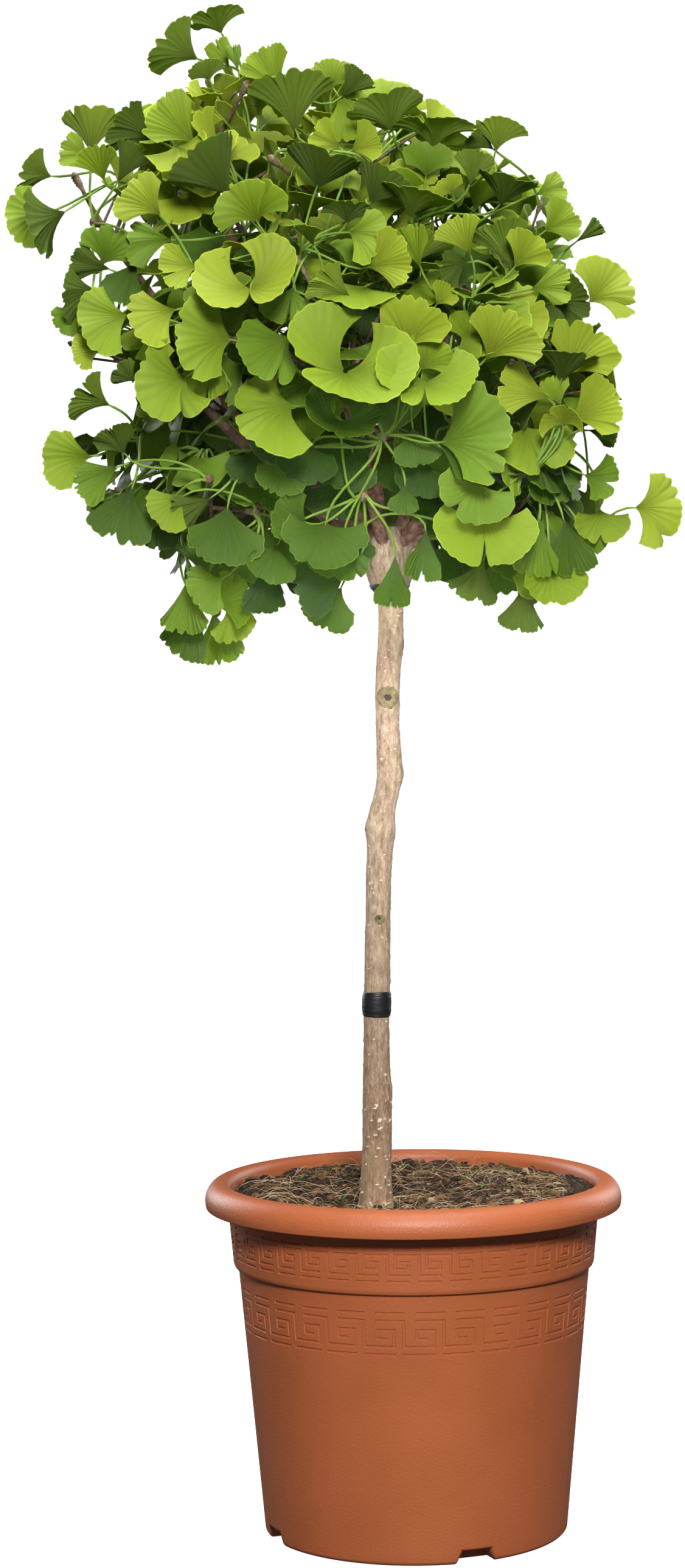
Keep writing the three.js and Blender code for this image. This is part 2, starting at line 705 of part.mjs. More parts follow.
// ---------------------------------------------------------------- foliage: leaves
// A leaf's corners, from its root in the spur to the edge of its fan.
function layLeaf(root, direction, petiole, axis, face, size, cup) {
  const base = along(root, direction, petiole);
  const side = new THREE.Vector3().crossVectors(axis, face);
  const edge = FAN.map(([across, forward, lift]) => {
    const point = along(base, side, across * size);
    point.addScaledVector(axis, forward * size);
    return point.addScaledVector(face, lift * cup * size);
  });
  const [left, leftLobe, notch, rightLobe, right] = edge;
  const triangles = [
    [base, left, leftLobe],
    [base, leftLobe, notch],
    [base, notch, rightLobe],
    [base, rightLobe, right],
  ];
  const start = along(root, direction, SPUR.radius + PETIOLE.sunk);
  const lines = [[start, base]];
  for (const point of edge) lines.push([base, point]);
  for (let i = 0; i + 1 < edge.length; i += 1) lines.push([edge[i], edge[i + 1]]);
  const centre = root.clone().add(notch).multiplyScalar(0.5);
  const radius = root.distanceTo(notch) / 2 + size;
  const middle = along(base, axis, BLADE.middle * size);
  return { root, direction, base, axis, face, side, edge, triangles, lines, centre, radius, middle };
}

// The way a blade's upper side looks: outward and up, with some disorder.
function facingOf(point, axis, random, disorder) {
  const outward = point.clone().sub(vec(CROWN_CORE)).normalize();
  const face = outward.multiplyScalar(FACING.outward).addScaledVector(UP, FACING.up);
  face.x += (random() - 0.5) * disorder;
  face.y += (random() - 0.5) * disorder;
  face.z += (random() - 0.5) * disorder;
  face.addScaledVector(axis, -face.dot(axis));
  return face.normalize();
}

function leavesCross(one, other) {
  if (one.centre.distanceTo(other.centre) > one.radius + other.radius) return false;
  const hits = (lines, triangles) =>
    lines.some(([p, q]) => triangles.some((face) => segmentHitsTriangle(p, q, face)));
  if (hits(one.lines, other.triangles) || hits(other.lines, one.triangles)) return true;
  return segmentDistance(...one.lines[0], ...other.lines[0]) < 2 * PETIOLE.radius;
}

function leafFits(leaf, space, twigs, grown, held) {
  if (!leaf.edge.every((point) => space.inside(point, CELL_MARGIN))) return false;
  if (!space.inside(leaf.base, CELL_MARGIN + LEAST_ROOM)) return false;
  if (held && !leaf.edge.every(space.within)) return false;
  if (!leaf.lines.every(([p, q]) => space.clear(p, q, LIMB_CLEARANCE))) return false;
  if (!space.unpierced(leaf.triangles)) return false;
  const room = STEM_RADIUS.start + WOOD_CLEARANCE;
  const onWood = twigs.some(([from, to]) =>
    leaf.lines.some(([p, q]) => segmentDistance(p, q, from, to) < room));
  if (onWood || twigs.some(([p, q]) => leaf.triangles.some((face) => segmentHitsTriangle(p, q, face)))) {
    return false;
  }
  return !grown.some((other) => leavesCross(leaf, other));
}

// How strongly leaves hang: from upright at the top of the crown to drooping at its foot.
function hangOf(height) {
  return mix(HANG.low, HANG.high, smooth((height - HANG.from) / HANG.over));
}

// The spurs that suit a leaf to this tip best: about a petiole away, on its inner side.
function suitedSpurs(tip, spurs) {
  const outward = tip.clone().sub(vec(CROWN_CORE)).normalize();
  const costs = new Map(spurs.map((spur) => {
    const toTip = tip.clone().sub(spur.tip);
    const apart = Math.abs(toTip.length() - PETIOLE.usual - BLADE.smallest);
    return [spur, apart - AIMED.outward * toTip.dot(outward)];
  }));
  const ordered = [...spurs].sort((one, other) => costs.get(one) - costs.get(other));
  return ordered.slice(0, AIMED.spurs);
}

// A leaf from a spur whose petiole ends at the given base.
function leafTo(base, spur, size, axis, face, cup) {
  const toward = base.clone().sub(spur.tip).normalize();
  const sideways = toward.clone().addScaledVector(spur.axis, -toward.dot(spur.axis));
  const root = along(along(spur.tip, spur.axis, -PETIOLE.sunk), sideways, PETIOLE.beside);
  const direction = base.clone().sub(root);
  const petiole = direction.length();
  return layLeaf(root, direction.normalize(), petiole, axis, face, size, cup);
}

// The leaf that reaches one of the crown's furthest tips.
function aimedLeaf(tip, spur, random) {
  const axis = tip.clone().sub(spur.tip).normalize();
  const size = mix(AIMED.smaller * BLADE.smallest, BLADE.largest, random());
  const face = facingOf(tip, axis, random, AIMED.disorder);
  return leafTo(along(tip, axis, -AIMED.reach * size), spur, size, axis, face, AIMED.cup);
}

function seededLeaf(spur, random) {
  const outward = spur.tip.clone().sub(vec(CROWN_CORE)).normalize();
  const hang = HANG.least + hangOf(spur.tip.z);
  const direction = randomIn(new THREE.Vector3(), 1, random).normalize();
  direction.addScaledVector(spur.axis, LEAVES_OUT.spur).addScaledVector(outward, LEAVES_OUT.outward);
  direction.addScaledVector(UP, -LEAVES_OUT.hang * hang).normalize();
  const petiole = mix(PETIOLE.shortest, PETIOLE.longest, random());
  const base = along(spur.tip, direction, petiole);
  const axis = randomIn(direction, LEAVES_OUT.wander, random);
  axis.addScaledVector(outward, LEAVES_OUT.hang * random());
  axis.addScaledVector(UP, -hang * random()).normalize();
  const size = mix(BLADE.smallest, BLADE.largest, random());
  const face = facingOf(base, axis, random, FACING.disorder);
  return leafTo(base, spur, size, axis, face, mix(CUP.least, CUP.most, random()));
}

function growLeaves(mass, order, { wood, spurs }, space, taken) {
  const twigs = wood.flatMap(({ points }) => points.slice(1).map((point, i) => [points[i], point]));
  const leaves = [];
  const keep = (leaf, spur) => {
    leaves.push(leaf);
    taken.push(leaf.middle);
    spur.leaves += 1;
  };
  mass.tips.forEach((tip, k) => {
    const suited = suitedSpurs(vec(tip), spurs);
    const random = seeded(SEED, order, 3, k);
    for (let attempt = 0; attempt < ATTEMPTS; attempt += 1) {
      const spur = suited[attempt % suited.length];
      const leaf = aimedLeaf(vec(tip), spur, random);
      if (leafFits(leaf, space, twigs, leaves, false)) {
        keep(leaf, spur);
        break;
      }
    }
  });
  for (let k = 0; k < MOST_LEAVES; k += 1) {
    const random = seeded(SEED, order, 4, k);
    let best = { room: LEAF_SPACING };
    for (let attempt = 0; attempt < ATTEMPTS; attempt += 1) {
      const spur = spurs[Math.floor(spurs.length * random())];
      const leaf = seededLeaf(spur, random);
      const room = nearestDistance(leaf.middle, taken);
      const fresh = room > best.room && spur.leaves < SPUR.most;
      if (fresh && leafFits(leaf, space, twigs, leaves, true)) best = { room, leaf, spur };
    }
    if (best.leaf) keep(best.leaf, best.spur);
  }
  return leaves;
}

// A fan leaf as a closed wedge: a three-sided petiole that opens into a blade with a thin edge.
function leafSolid({ root, direction, base, axis, face, side, edge }) {
  const triangle = (centre, forward, radius) => {
    const across = new THREE.Vector3().crossVectors(forward, face).normalize();
    const above = new THREE.Vector3().crossVectors(across, forward).normalize();
    const under = along(centre, above, -radius / 2);
    const halfWidth = radius * Math.sin(Math.PI / 3);
    return [
      along(centre, above, radius),
      along(under, across, -halfWidth),
      along(under, across, halfWidth),
    ];
  };
  const start = triangle(root, direction, PETIOLE.radius);
  const half = BLADE.thickness / 2;
  const underBase = along(base, face, -half);
  const end = [
    along(base, face, half),
    along(underBase, side, -PETIOLE.radius),
    along(underBase, side, PETIOLE.radius),
  ];
  const points = [...start, ...end, ...edge];
  const [left, leftLobe, notch, rightLobe, right] = [6, 7, 8, 9, 10];
  const index = [
    [0, 1, 2],
    [0, 4, 1], [0, 3, 4], [1, 5, 2], [1, 4, 5], [2, 3, 0], [2, 5, 3],
    [3, leftLobe, left], [3, notch, leftLobe], [3, rightLobe, notch], [3, right, rightLobe],
    [4, left, leftLobe], [4, leftLobe, notch], [4, notch, 5], [5, notch, rightLobe], [5, rightLobe, right],
    [3, left, 4], [5, right, 3],
  ];
  const geometry = new THREE.BufferGeometry();
  const positions = points.flatMap((point) => [point.x, point.y, point.z]);
  geometry.setAttribute('position', new THREE.Float32BufferAttribute(positions, 3));
  geometry.setIndex(index.flat());
  return toSolid(geometry);
}

function foliageSolid({ wood, spurs }, leaves) {
  const pieces = wood.map(({ points, radii }, i) => {
    const { tip } = spurs[i];
    return limb([...points, tip], [...taper(points, radii), SPUR.radius], 3);
  });
  const joined = wasm.Manifold.union([...pieces, ...leaves.map(leafSolid)]);
  return mainBody(joined).simplify(SHORTEST_EDGE);
}

// ---------------------------------------------------------------- the whole plant
function material(colour, roughness) {
  return new THREE.MeshStandardMaterial({ color: colour, roughness, metalness: 0, side: THREE.DoubleSide });
}

const MATERIALS = {
  pot: material(COLOURS.pot, 0.45),
  soil: material(COLOURS.soil, 0.95),
  bark: material(COLOURS.bark, 0.85),
  bough: material(COLOURS.bough, 0.8),
  tape: material(COLOURS.tape, 0.35),
  leaf: material(COLOURS.leaf, 0.55),
};

const plant = new THREE.Group();

function addNode(name, solid, finish) {
  const mesh = new THREE.Mesh(toGeometry(solid), finish);
  mesh.name = name;
  plant.add(mesh);
}

addNode('pot', potSolid(), MATERIALS.pot);
addNode('soil', soilSolid(), MATERIALS.soil);
addNode('trunk', trunkSolid(0), MATERIALS.bark);
for (const tie of TIES) addNode(tie.name, tieSolid(tie), MATERIALS.tape);

const boughs = layBoughs();
for (const [name, solid] of boughSolids(boughs)) addNode(`bough_${name}`, solid, MATERIALS.bough);

const limbs = limbLengths(boughs);
const taken = []; // the middles of all the blades so far
MASSES.forEach((mass, order) => {
  const space = makeSpace(mass, limbs);
  const grown = growWood(mass, order, boughs.get(mass.name), space);
  const leaves = growLeaves(mass, order, grown, space, taken);
  addNode(`foliage_${mass.name}`, foliageSolid(grown, leaves), MATERIALS.leaf);
});

export default plant;
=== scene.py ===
"""A dwarf ginkgo grafted as a standard, in a terracotta-coloured pot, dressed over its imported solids.

Sizes are millimetres in the frame of the solids (+Z up, -Y to the front, the origin under the
pot's middle). They become metres once, where a mesh is made. The camera's place and the lights
are in metres.
"""

import math
from itertools import combinations

import bpy
import numpy as np
from mathutils import Matrix


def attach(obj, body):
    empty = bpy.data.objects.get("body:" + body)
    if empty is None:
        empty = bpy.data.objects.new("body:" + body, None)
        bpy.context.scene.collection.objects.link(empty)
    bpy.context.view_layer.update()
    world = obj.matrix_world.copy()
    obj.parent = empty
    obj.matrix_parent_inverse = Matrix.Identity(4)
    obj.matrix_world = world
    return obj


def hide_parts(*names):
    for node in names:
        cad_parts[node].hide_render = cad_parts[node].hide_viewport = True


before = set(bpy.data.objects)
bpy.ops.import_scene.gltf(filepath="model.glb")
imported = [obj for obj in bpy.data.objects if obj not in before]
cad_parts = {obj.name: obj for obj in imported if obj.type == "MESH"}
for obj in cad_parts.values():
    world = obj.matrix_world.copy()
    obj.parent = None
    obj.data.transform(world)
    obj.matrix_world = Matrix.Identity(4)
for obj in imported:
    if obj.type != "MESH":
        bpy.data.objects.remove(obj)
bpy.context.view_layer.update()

MM = 0.001
UP = np.array([0.0, 0.0, 1.0])

# ---------------------------------------------------------------- driving dimensions
# The names and sizes down to MASSES are those of the part's source, but for its outline's tips.
GAP = 0.3

POT_HEIGHT = 296.2
RIM_RADIUS = 175.0
MOUTH_RADIUS = 154.0
LIP_HEIGHT = 21.6
COLLAR_RADIUS = 155.6
COLLAR_FOOT_RADIUS = 151.6
STEP_HEIGHT = 225.5
BODY_RADIUS = 147.6
BASE_RADIUS = 127.0
WALL = 4.0
CHAMFER = 2.5
NOTCH = {"count": 4, "bearing": -68.6, "top": 26.0, "foot": 37.0, "height": 12.0, "depth": 20.0}

SOIL_SEAT = 278.0
SOIL_RISE = 8.6
SOIL_FLAT = 44.0
SOIL_SLOPE = 60.0
SOIL_LUMP = 0.8

TRUNK_FOOT = (-31.7, -44.0)
TRUNK_HEAD_Y = -41.0
TRUNK_COURSE = np.array([
    (SOIL_SEAT + GAP, -31.7, 12.4),
    (344, -29.9, 12.1),
    (422, -29.6, 10.6),
    (546, -27.0, 10.2),
    (592, -24.8, 10.4),
    (638, -17.2, 10.0),
    (702, -17.9, 9.7),
    (770, -14.0, 10.2),
    (845, -15.6, 10.4),
])
FLARE = {"swell": 2.8, "height": 10.0}
KNEE = {"height": 592.0, "swell": 1.9, "half": 11.0}
GRAFT = {"height": 814.0, "radius": 18.6, "half": 30.0, "power": 2.6, "cut": 2.5}
# height, bearing in degrees, how far it stands out, half size
KNOTS = [
    (701, -88, 1.8, 11),
    (519, -84, 1.2, 8),
    (638, -8, 1.9, 8),
    (377, -20, 1.3, 8),
    (744, 0, 1.6, 9),
]
FOOT_RINGS = (GAP, 6, 16, 32)
RING_STEP = 28
GRAFT_RING_STEP = 7
CLOSEST_RINGS = 3.2
TIE_THICKNESS = 1.1
TIES = [("tie_lower", 438.0, 458.0), ("tie_upper", 780.0, 794.0)]

BOUGH_STEPS = 4
BOUGH_RADIUS = (5.4, 3.5)
FORK_RADIUS = (4.2, 3.0)
LEAVING = {"steep_within": 50.0, "wide_beyond": 200.0}
WIDE_START = {"out": 4.0, "rise": -6.0}
STEEP_START = {"out": 7.0, "rise": 16.0}
RISING_BOW = {"out": 0.42, "rise": 0.38}
FORK_BOW = {"share": 0.45, "lift": 6.0}
STEM_INSIDE = {"usual": 44.0, "share": 0.5}

SEED = 11
CROWN_CORE = np.array([-35.0, -42.0, 925.0])
LIMB_CLEARANCE = 3.0
LOWEST_LEAF = 640.0
STEM_RADIUS = (3.4, 2.4)
STEM_ENTRY = 30.0
STEM_END = {"past": 16.0, "lift": 10.0}
STEM_SHARES = (0, 0.34, 0.67, 1)
TWIG_RADIUS = (2.6, 2.1)
SPUR = {"length": 9.0, "radius": 5.6}
SPURS = 5
TWIG_ATTEMPTS = 4
TWIG_MARGIN = 10.0
TWIG_SHORTEST = 18.0
BARE_FOOT = 14.0
FORK_ROOM = 2.0
FORK_SHARES = (0.1, 0.4, 0.7, 0.95)
TWIG_REACH = 0.62
CANDIDATES = 16
PETIOLE = {"shortest": 26.0, "longest": 92.0, "radius": 1.25}

# name, heart, reach, and for a fork the bough that it leaves and where along it
MASSES = [
    {"name": "upper_middle", "heart": (-48, -82, 1106), "reach": 118},
    {"name": "upper_left", "heart": (-165, -35, 1135), "reach": 125},
    {"name": "upper_right", "heart": (54, -20, 1072), "reach": 112},
    {"name": "upper_back", "heart": (-62, 66, 1095), "reach": 122, "from": "upper_middle", "leave": 0.45},
    {"name": "front", "heart": (-58, -165, 975), "reach": 130},
    {"name": "front_right", "heart": (80, -122, 955), "reach": 115},
    {"name": "left", "heart": (-195, -50, 970), "reach": 113},
    {"name": "right", "heart": (110, 5, 920), "reach": 114},
    {"name": "back_left", "heart": (-128, 88, 950), "reach": 128},
    {"name": "back_right", "heart": (28, 108, 945), "reach": 125},
    {"name": "left_spray", "heart": (-256, -40, 1100), "reach": 78, "from": "left", "leave": 0.62},
    {"name": "lower_left", "heart": (-160, -80, 838), "reach": 108, "from": "left", "leave": 0.45},
    {"name": "lower_right", "heart": (62, -72, 832), "reach": 90, "from": "front_right", "leave": 0.16},
]
HEARTS = np.array([mass["heart"] for mass in MASSES], float)

# Finer growth that only this script adds, within the same reach.
FINE_TWIGS = 6
FINE_RADIUS = (1.8, 1.4)
FINE_SPUR = {"length": 7.0, "radius": 3.8}
FINE_REACH = 0.72
SLENDER = 0.7  # twigs and spurs are this share as thick as in the faceted solids
USUAL_REACH = 118.0
LEAVES = 46  # on a mass of the usual reach, beside its named leaves
INNER_LEAVES = 32  # more of them toward the crown's middle
TRIES = 30  # places tried for each leaf, of which the best is taken
MOST_ON_SPUR = 9
OVERHANG = 14.0  # how far a blade may lean into the next mass's space
CLOSEST_BLADES = 4.0
ROOMY = 20.0  # blades further apart than this count as free
OUTER_SHARE = 0.09  # how much a place further out is worth, beside its room
BLADE = {"smallest": 29.0, "largest": 46.0}

# The leaves that stand out at the front, measured in the photograph's pixels: where the
# blade starts (x, y) and the middle of its edge (x, y); then how far it is sunk behind the crown's
# front and how far its edge leans toward the viewer (mm), half its span in degrees, its notch's
# depth, and its tint from 0 (dark) to 4 (bright); then, where they aren't as usual ("open", "upper",
# 0), its form, the side that is seen, and the notch's place.
# The tints are partly the leaves' own colour and partly painted light and shade: lit leaves take the bright
# tints, shaded ones the dark.
NAMED_LEAVES = [
    # the top sprigs, and the funnels along the top, left to right
    (364, 55, 338, 8, 0, 14, 78, 0.12, 2, "funnel", "under"),
    (326, 98, 256, 62, 0, 12, 62, 0.20, 2, "funnel", "under", -0.2),
    (345, 132, 333, 99, 6, 10, 80, 0.08, 2, "open", "under"),
    (378, 112, 352, 66, 12, 4, 30, 0.10, 3),
    (392, 120, 382, 70, 16, 2, 18, 0.10, 2),
    (463, 152, 424, 84, 16, 6, 40, 0.06, 3),
    (486, 222, 478, 112, 0, 10, 46, 0.12, 2, "folded", "under", 0.3),
    (322, 238, 258, 172, 0, 14, 42, 0.06, 3),
    (262, 232, 186, 192, 8, 10, 40, 0.10, 1, "cupped", "under"),
    (150, 255, 150, 165, 0, 10, 54, 0.08, 3, "folded", "under"),
    (150, 258, 103, 240, 4, 8, 46, 0.10, 3),
    (172, 298, 152, 240, -4, 14, 44, 0.08, 3, "cupped"),
    (192, 302, 228, 240, 6, 6, 34, 0.06, 1, "folded", "under"),
    (85, 290, 32, 282, 0, 12, 74, 0.30, 2, "cupped", "under", 0.1),
    (108, 347, 48, 384, -4, 14, 62, 0.14, 1, "funnel", "under"),
    (75, 350, 12, 358, 10, 4, 74, 0.06, 3, "flat"),
    (265, 355, 212, 300, -6, 16, 44, 0.06, 4),
    (378, 322, 318, 246, 0, 22, 70, 0.06, 1, "funnel", "under"),
    (560, 162, 598, 118, 6, 10, 38, 0.06, 1, "cupped", "under"),
    (545, 146, 558, 93, 14, 4, 66, 0.06, 3),
    (285, 395, 212, 388, 14, 6, 38, 0.08, 2),
    (226, 428, 192, 492, 14, 6, 42, 0.08, 1),
    (556, 155, 586, 214, 6, 8, 50, 0.06, 3),
    (520, 310, 545, 245, 0, 26, 88, 0.06, 1, "funnel", "under"),
    (560, 242, 514, 214, 6, 12, 50, 0.06, 4),
    (575, 250, 622, 222, 6, 12, 48, 0.06, 4),
    (645, 217, 634, 140, 0, 18, 76, 0.10, 2, "funnel", "under"),
    (712, 245, 725, 176, 0, 24, 66, 0.08, 2, "funnel", "under", 0.3),
    (700, 292, 706, 232, 14, 4, 60, 0.06, 2),
    (815, 250, 820, 188, 0, 8, 56, 0.12, 3, "cupped", "under", 0.4),
    (812, 246, 774, 216, 8, 6, 42, 0.06, 1, "cupped", "under"),
    (772, 305, 785, 248, 4, 8, 42, 0.08, 2, "cupped", "under"),
    (822, 338, 850, 286, 0, 24, 80, 0.06, 1, "funnel", "under"),
    (880, 320, 926, 302, 6, 6, 42, 0.10, 3),
    (893, 382, 942, 344, 0, 10, 50, 0.08, 3),
    (945, 398, 988, 372, 6, 4, 26, 0.05, 1, "folded", "under"),
    (608, 336, 640, 276, 2, 18, 64, 0.06, 1, "funnel", "under"),
    (673, 356, 690, 296, 0, 26, 80, 0.08, 2, "funnel", "under"),
    (745, 320, 730, 290, 2, 10, 60, 0.08, 4),
    # the left side, from the spray down
    (168, 436, 192, 372, 2, 10, 60, 0.08, 2),
    (182, 442, 118, 430, 8, 8, 38, 0.06, 1, "cupped", "under"),
    (326, 438, 266, 440, 0, 12, 52, 0.55, 4, "open", "upper", -0.2),
    (160, 476, 102, 490, 4, 10, 58, 0.08, 1, "cupped", "under"),
    (132, 508, 96, 534, 8, 6, 50, 0.06, 2),
    (212, 518, 136, 530, -4, 14, 62, 0.06, 3),
    (290, 508, 222, 530, -6, 14, 54, 0.06, 4),
    (166, 575, 122, 580, 0, 8, 56, 0.06, 4, "cupped"),
    (223, 626, 190, 606, 4, 6, 56, 0.10, 1, "open", "under"),
    (308, 620, 240, 650, -8, 18, 88, 0.35, 3, "cupped", "upper", -0.5),
    (181, 666, 122, 642, 0, 10, 52, 0.50, 2, "cupped", "under", -0.3),
    (152, 750, 74, 746, -4, 10, 52, 0.06, 3),
    (206, 748, 178, 700, 4, 6, 50, 0.06, 1, "open", "under"),
    (196, 766, 128, 796, 4, 8, 42, 0.08, 2),
    (218, 800, 186, 880, 2, 6, 52, 0.20, 1),
    (304, 812, 256, 848, -2, 8, 54, 0.06, 3),
    (350, 816, 292, 852, 8, 8, 36, 0.06, 1, "cupped", "under"),
    (374, 830, 366, 914, 0, 8, 60, 0.06, 1),
    (264, 858, 258, 900, 6, 2, 60, 0.50, 0),
    # the bright front, with its two-lobed leaves
    (423, 366, 398, 302, -4, 18, 76, 0.60, 3, "open", "upper", 0.42),
    (411, 474, 420, 501, -10, 41, 156, 0.86, 4, "bowl", "upper", 0.04),
    (567, 612, 549, 648, -16, 51, 158, 0.46, 3, "bowl", "upper", 0.26),
    (699, 627, 697, 666, -20, 37, 122, 0.80, 3, "bowl"),
    (557, 692, 548, 712, -4, 31, 128, 0.20, 1, "bowl"),
    (383, 558, 292, 548, -4, 16, 70, 0.08, 3, "flat"),
    (478, 553, 408, 596, -4, 16, 64, 0.50, 2, "open", "upper", -0.55),
    (482, 666, 396, 680, -8, 16, 92, 0.12, 3, "level", "upper", 0.2),
    (482, 470, 470, 526, 6, 10, 60, 0.34, 2),
    (665, 578, 690, 488, -2, 18, 50, 0.08, 4, "open", "upper", 0.2),
    (798, 593, 850, 510, -8, 18, 50, 0.06, 4, "flat"),
    (690, 608, 726, 560, 0, 10, 60, 0.08, 3),
    (845, 441, 882, 384, -4, 14, 46, 0.05, 4),
    (842, 448, 814, 362, 10, 6, 34, 0.06, 2, "cupped", "under"),
    (775, 422, 746, 359, -6, 14, 34, 0.05, 4, "cupped"),
    (770, 430, 724, 446, 8, 8, 52, 0.06, 1, "open", "under"),
    (692, 442, 668, 365, 0, 12, 28, 0.06, 3),
    (603, 441, 668, 412, -4, 16, 52, 0.06, 4),
    (572, 382, 628, 384, 0, 14, 62, 0.08, 3),
    (570, 368, 580, 322, 6, 12, 72, 0.06, 1, "cupped", "under"),
    (578, 490, 520, 446, -8, 6, 36, 0.06, 3, "cupped", "under"),
    (716, 502, 742, 468, 6, 8, 48, 0.08, 4),
    (722, 728, 832, 706, -10, 16, 64, 0.22, 2, "open", "upper", 0.3),
    (722, 732, 774, 780, -6, 10, 22, 0.06, 1),
    (788, 790, 768, 846, -16, 14, 90, 0.34, 2, "open", "upper", 0.25),
    (797, 842, 797, 926, -10, 14, 100, 0.55, 3, "flat"),
    # leaves deep inside in the darkest tints, which are painted shade, and close gaps behind the others
    (562, 700, 562, 760, 70, 8, 70, 0.06, 0, "flat"),
    (553, 785, 548, 845, 60, 8, 70, 0.06, 0, "flat"),
    (690, 452, 692, 512, 75, 8, 70, 0.06, 1, "flat"),
    (712, 378, 716, 436, 70, 8, 66, 0.06, 1, "flat"),
    (773, 404, 776, 460, 70, 8, 66, 0.06, 1, "flat"),
    (330, 368, 330, 424, 60, 8, 70, 0.06, 1, "flat"),
    (655, 745, 658, 800, 75, 8, 66, 0.06, 0, "flat"),
    (604, 480, 602, 540, 80, 8, 70, 0.06, 0, "flat"),
    # the right side
    (870, 476, 932, 462, 0, 10, 40, 0.20, 3, "open", "upper", 0.2),
    (905, 500, 966, 490, 8, 4, 62, 0.05, 1, "open", "under"),
    (968, 497, 1022, 446, 0, 8, 72, 0.50, 4, "open", "upper", 0.62),
    (922, 625, 940, 576, -4, 24, 86, 0.05, 1, "funnel", "under"),
    (926, 620, 978, 532, 8, 4, 50, 0.05, 4),
    (905, 655, 826, 624, -4, 14, 36, 0.10, 4),
    (922, 668, 906, 618, 0, 6, 40, 0.05, 3),
    (936, 690, 1016, 652, 0, 10, 50, 0.16, 4, "open", "upper", 0.6),
    (926, 700, 918, 664, -6, 14, 88, 0.05, 4, "cupped"),
    (966, 706, 1012, 720, 6, 4, 32, 0.05, 1, "open", "under"),
    (1043, 833, 1116, 842, 0, 6, 72, 0.26, 4, "open", "upper", 0.45),
    (986, 836, 988, 888, 0, 6, 84, 0.30, 3),
    (956, 868, 974, 910, 6, 4, 50, 0.08, 2),
    (960, 780, 1012, 796, 4, 6, 64, 0.36, 2, "cupped"),
    (905, 925, 914, 986, 0, 10, 82, 0.10, 3),
    (926, 850, 944, 930, 6, 4, 36, 0.10, 1),
    (866, 952, 852, 1024, 4, 2, 36, 0.06, 1, "folded", "under"),
    (796, 914, 778, 984, 6, 2, 44, 0.08, 1, "folded", "under"),
    (888, 850, 880, 934, 6, 4, 32, 0.06, 2),
    # the leaves round the graft, whose dark tints are partly painted shade, and the hanging ones at the
    # lower left
    (650, 910, 646, 984, 0, 4, 28, 0.10, 1),
    (701, 868, 692, 948, 4, 6, 30, 0.16, 1),
    (666, 796, 662, 840, 6, 6, 44, 0.05, 1),
    (535, 856, 530, 926, -8, 12, 88, 0.14, 1, "open", "upper", 0.2),
    (505, 860, 452, 830, 0, 10, 60, 0.06, 1),
    (566, 868, 548, 942, 8, 6, 54, 0.10, 1),
    (456, 893, 436, 946, 0, 8, 62, 0.06, 1),
    (576, 936, 492, 972, 10, 6, 42, 0.06, 0),
    (562, 964, 526, 1026, 8, 4, 54, 0.06, 1),
    (430, 936, 434, 1002, 6, 4, 42, 0.05, 0),
    (512, 728, 500, 788, 14, 8, 72, 0.10, 0, "open", "upper", 0.2),
    (418, 738, 404, 786, 24, 6, 62, 0.16, 0),
    (582, 742, 566, 800, 26, 8, 62, 0.10, 0),
    (678, 702, 690, 758, 12, 6, 54, 0.10, 1),
    (700, 756, 690, 812, 24, 8, 66, 0.08, 0),
    (462, 700, 440, 748, 26, 8, 70, 0.08, 0),
    (596, 872, 584, 916, 30, 4, 52, 0.08, 0),
    (470, 756, 452, 806, 12, 8, 64, 0.12, 1),
    (368, 950, 318, 976, -6, 10, 58, 0.08, 2),
    (352, 996, 412, 972, -4, 10, 60, 0.05, 2, "cupped"),
    (372, 1002, 392, 1046, -4, 4, 62, 0.05, 3),
    (310, 946, 304, 1032, 2, 4, 34, 0.08, 2, "folded"),
    (334, 996, 292, 1062, 8, 4, 40, 0.05, 1),
    (350, 1004, 364, 1076, 10, 4, 40, 0.12, 2),
    (342, 962, 322, 880, 8, 4, 26, 0.05, 1, "cupped"),
]
# half the angle of the cone that each form is rolled on, in degrees
CONES = {"flat": 80, "level": 80, "bowl": 62, "open": 66, "cupped": 54, "funnel": 45, "folded": 38}
DEEP_INSIDE = 50.0  # named leaves sunk this far don't keep the room in front of them clear
SHARP_FORMS = ("cupped", "funnel", "folded")  # blades whose corners stay pointed
# The crown's outline without its loose sprays, in the same pixels, clockwise from the left.
CROWN_OUTLINE = [
    (150, 250), (185, 190), (262, 160), (330, 120), (372, 80), (405, 120), (425, 85), (480, 108),
    (605, 102), (690, 150), (785, 200), (815, 250), (905, 305), (945, 350), (965, 410), (935, 440),
    (972, 520), (1010, 590), (1020, 690), (950, 720), (935, 760), (1000, 780), (1010, 860),
    (955, 925), (940, 980), (880, 985), (800, 985), (690, 955), (650, 985), (590, 1000), (535, 1025),
    (480, 985), (450, 1000), (400, 1040), (340, 1010), (290, 1000), (285, 940), (250, 890),
    (165, 870), (130, 800), (80, 780), (120, 705), (210, 700), (235, 650), (190, 600), (130, 600),
    (100, 540), (110, 450), (155, 380), (130, 300),
]
# Where the graft and the bough over it show, in the same pixels: circles (x, y, radius) that the
# seeded leaves and twigs leave free in front of a depth (mm).
SHOWN_WOOD = {
    "spots": [(638, 884, 34), (632, 820, 22), (622, 760, 20), (614, 706, 16)],
    "depth": -60.0,
}
# Where several stalks spring from one spur in the photograph, in its pixels, and how far it is sunk.
NAMED_SPURS = [
    (344, 792, 20), (855, 768, 20), (622, 708, 20), (496, 440, 25), (455, 268, 10), (386, 560, 28),
    (400, 150, 14), (600, 800, 20),
]
# The crown's front in the same pixels: a bulging shell (mm) over an ellipse.
CROWN_FACE = {"middle": (572, 602), "across": 590, "down": 520, "edge": -42.0, "bulge": 165.0}
PHOTO_SIZE = (1126, 2576)
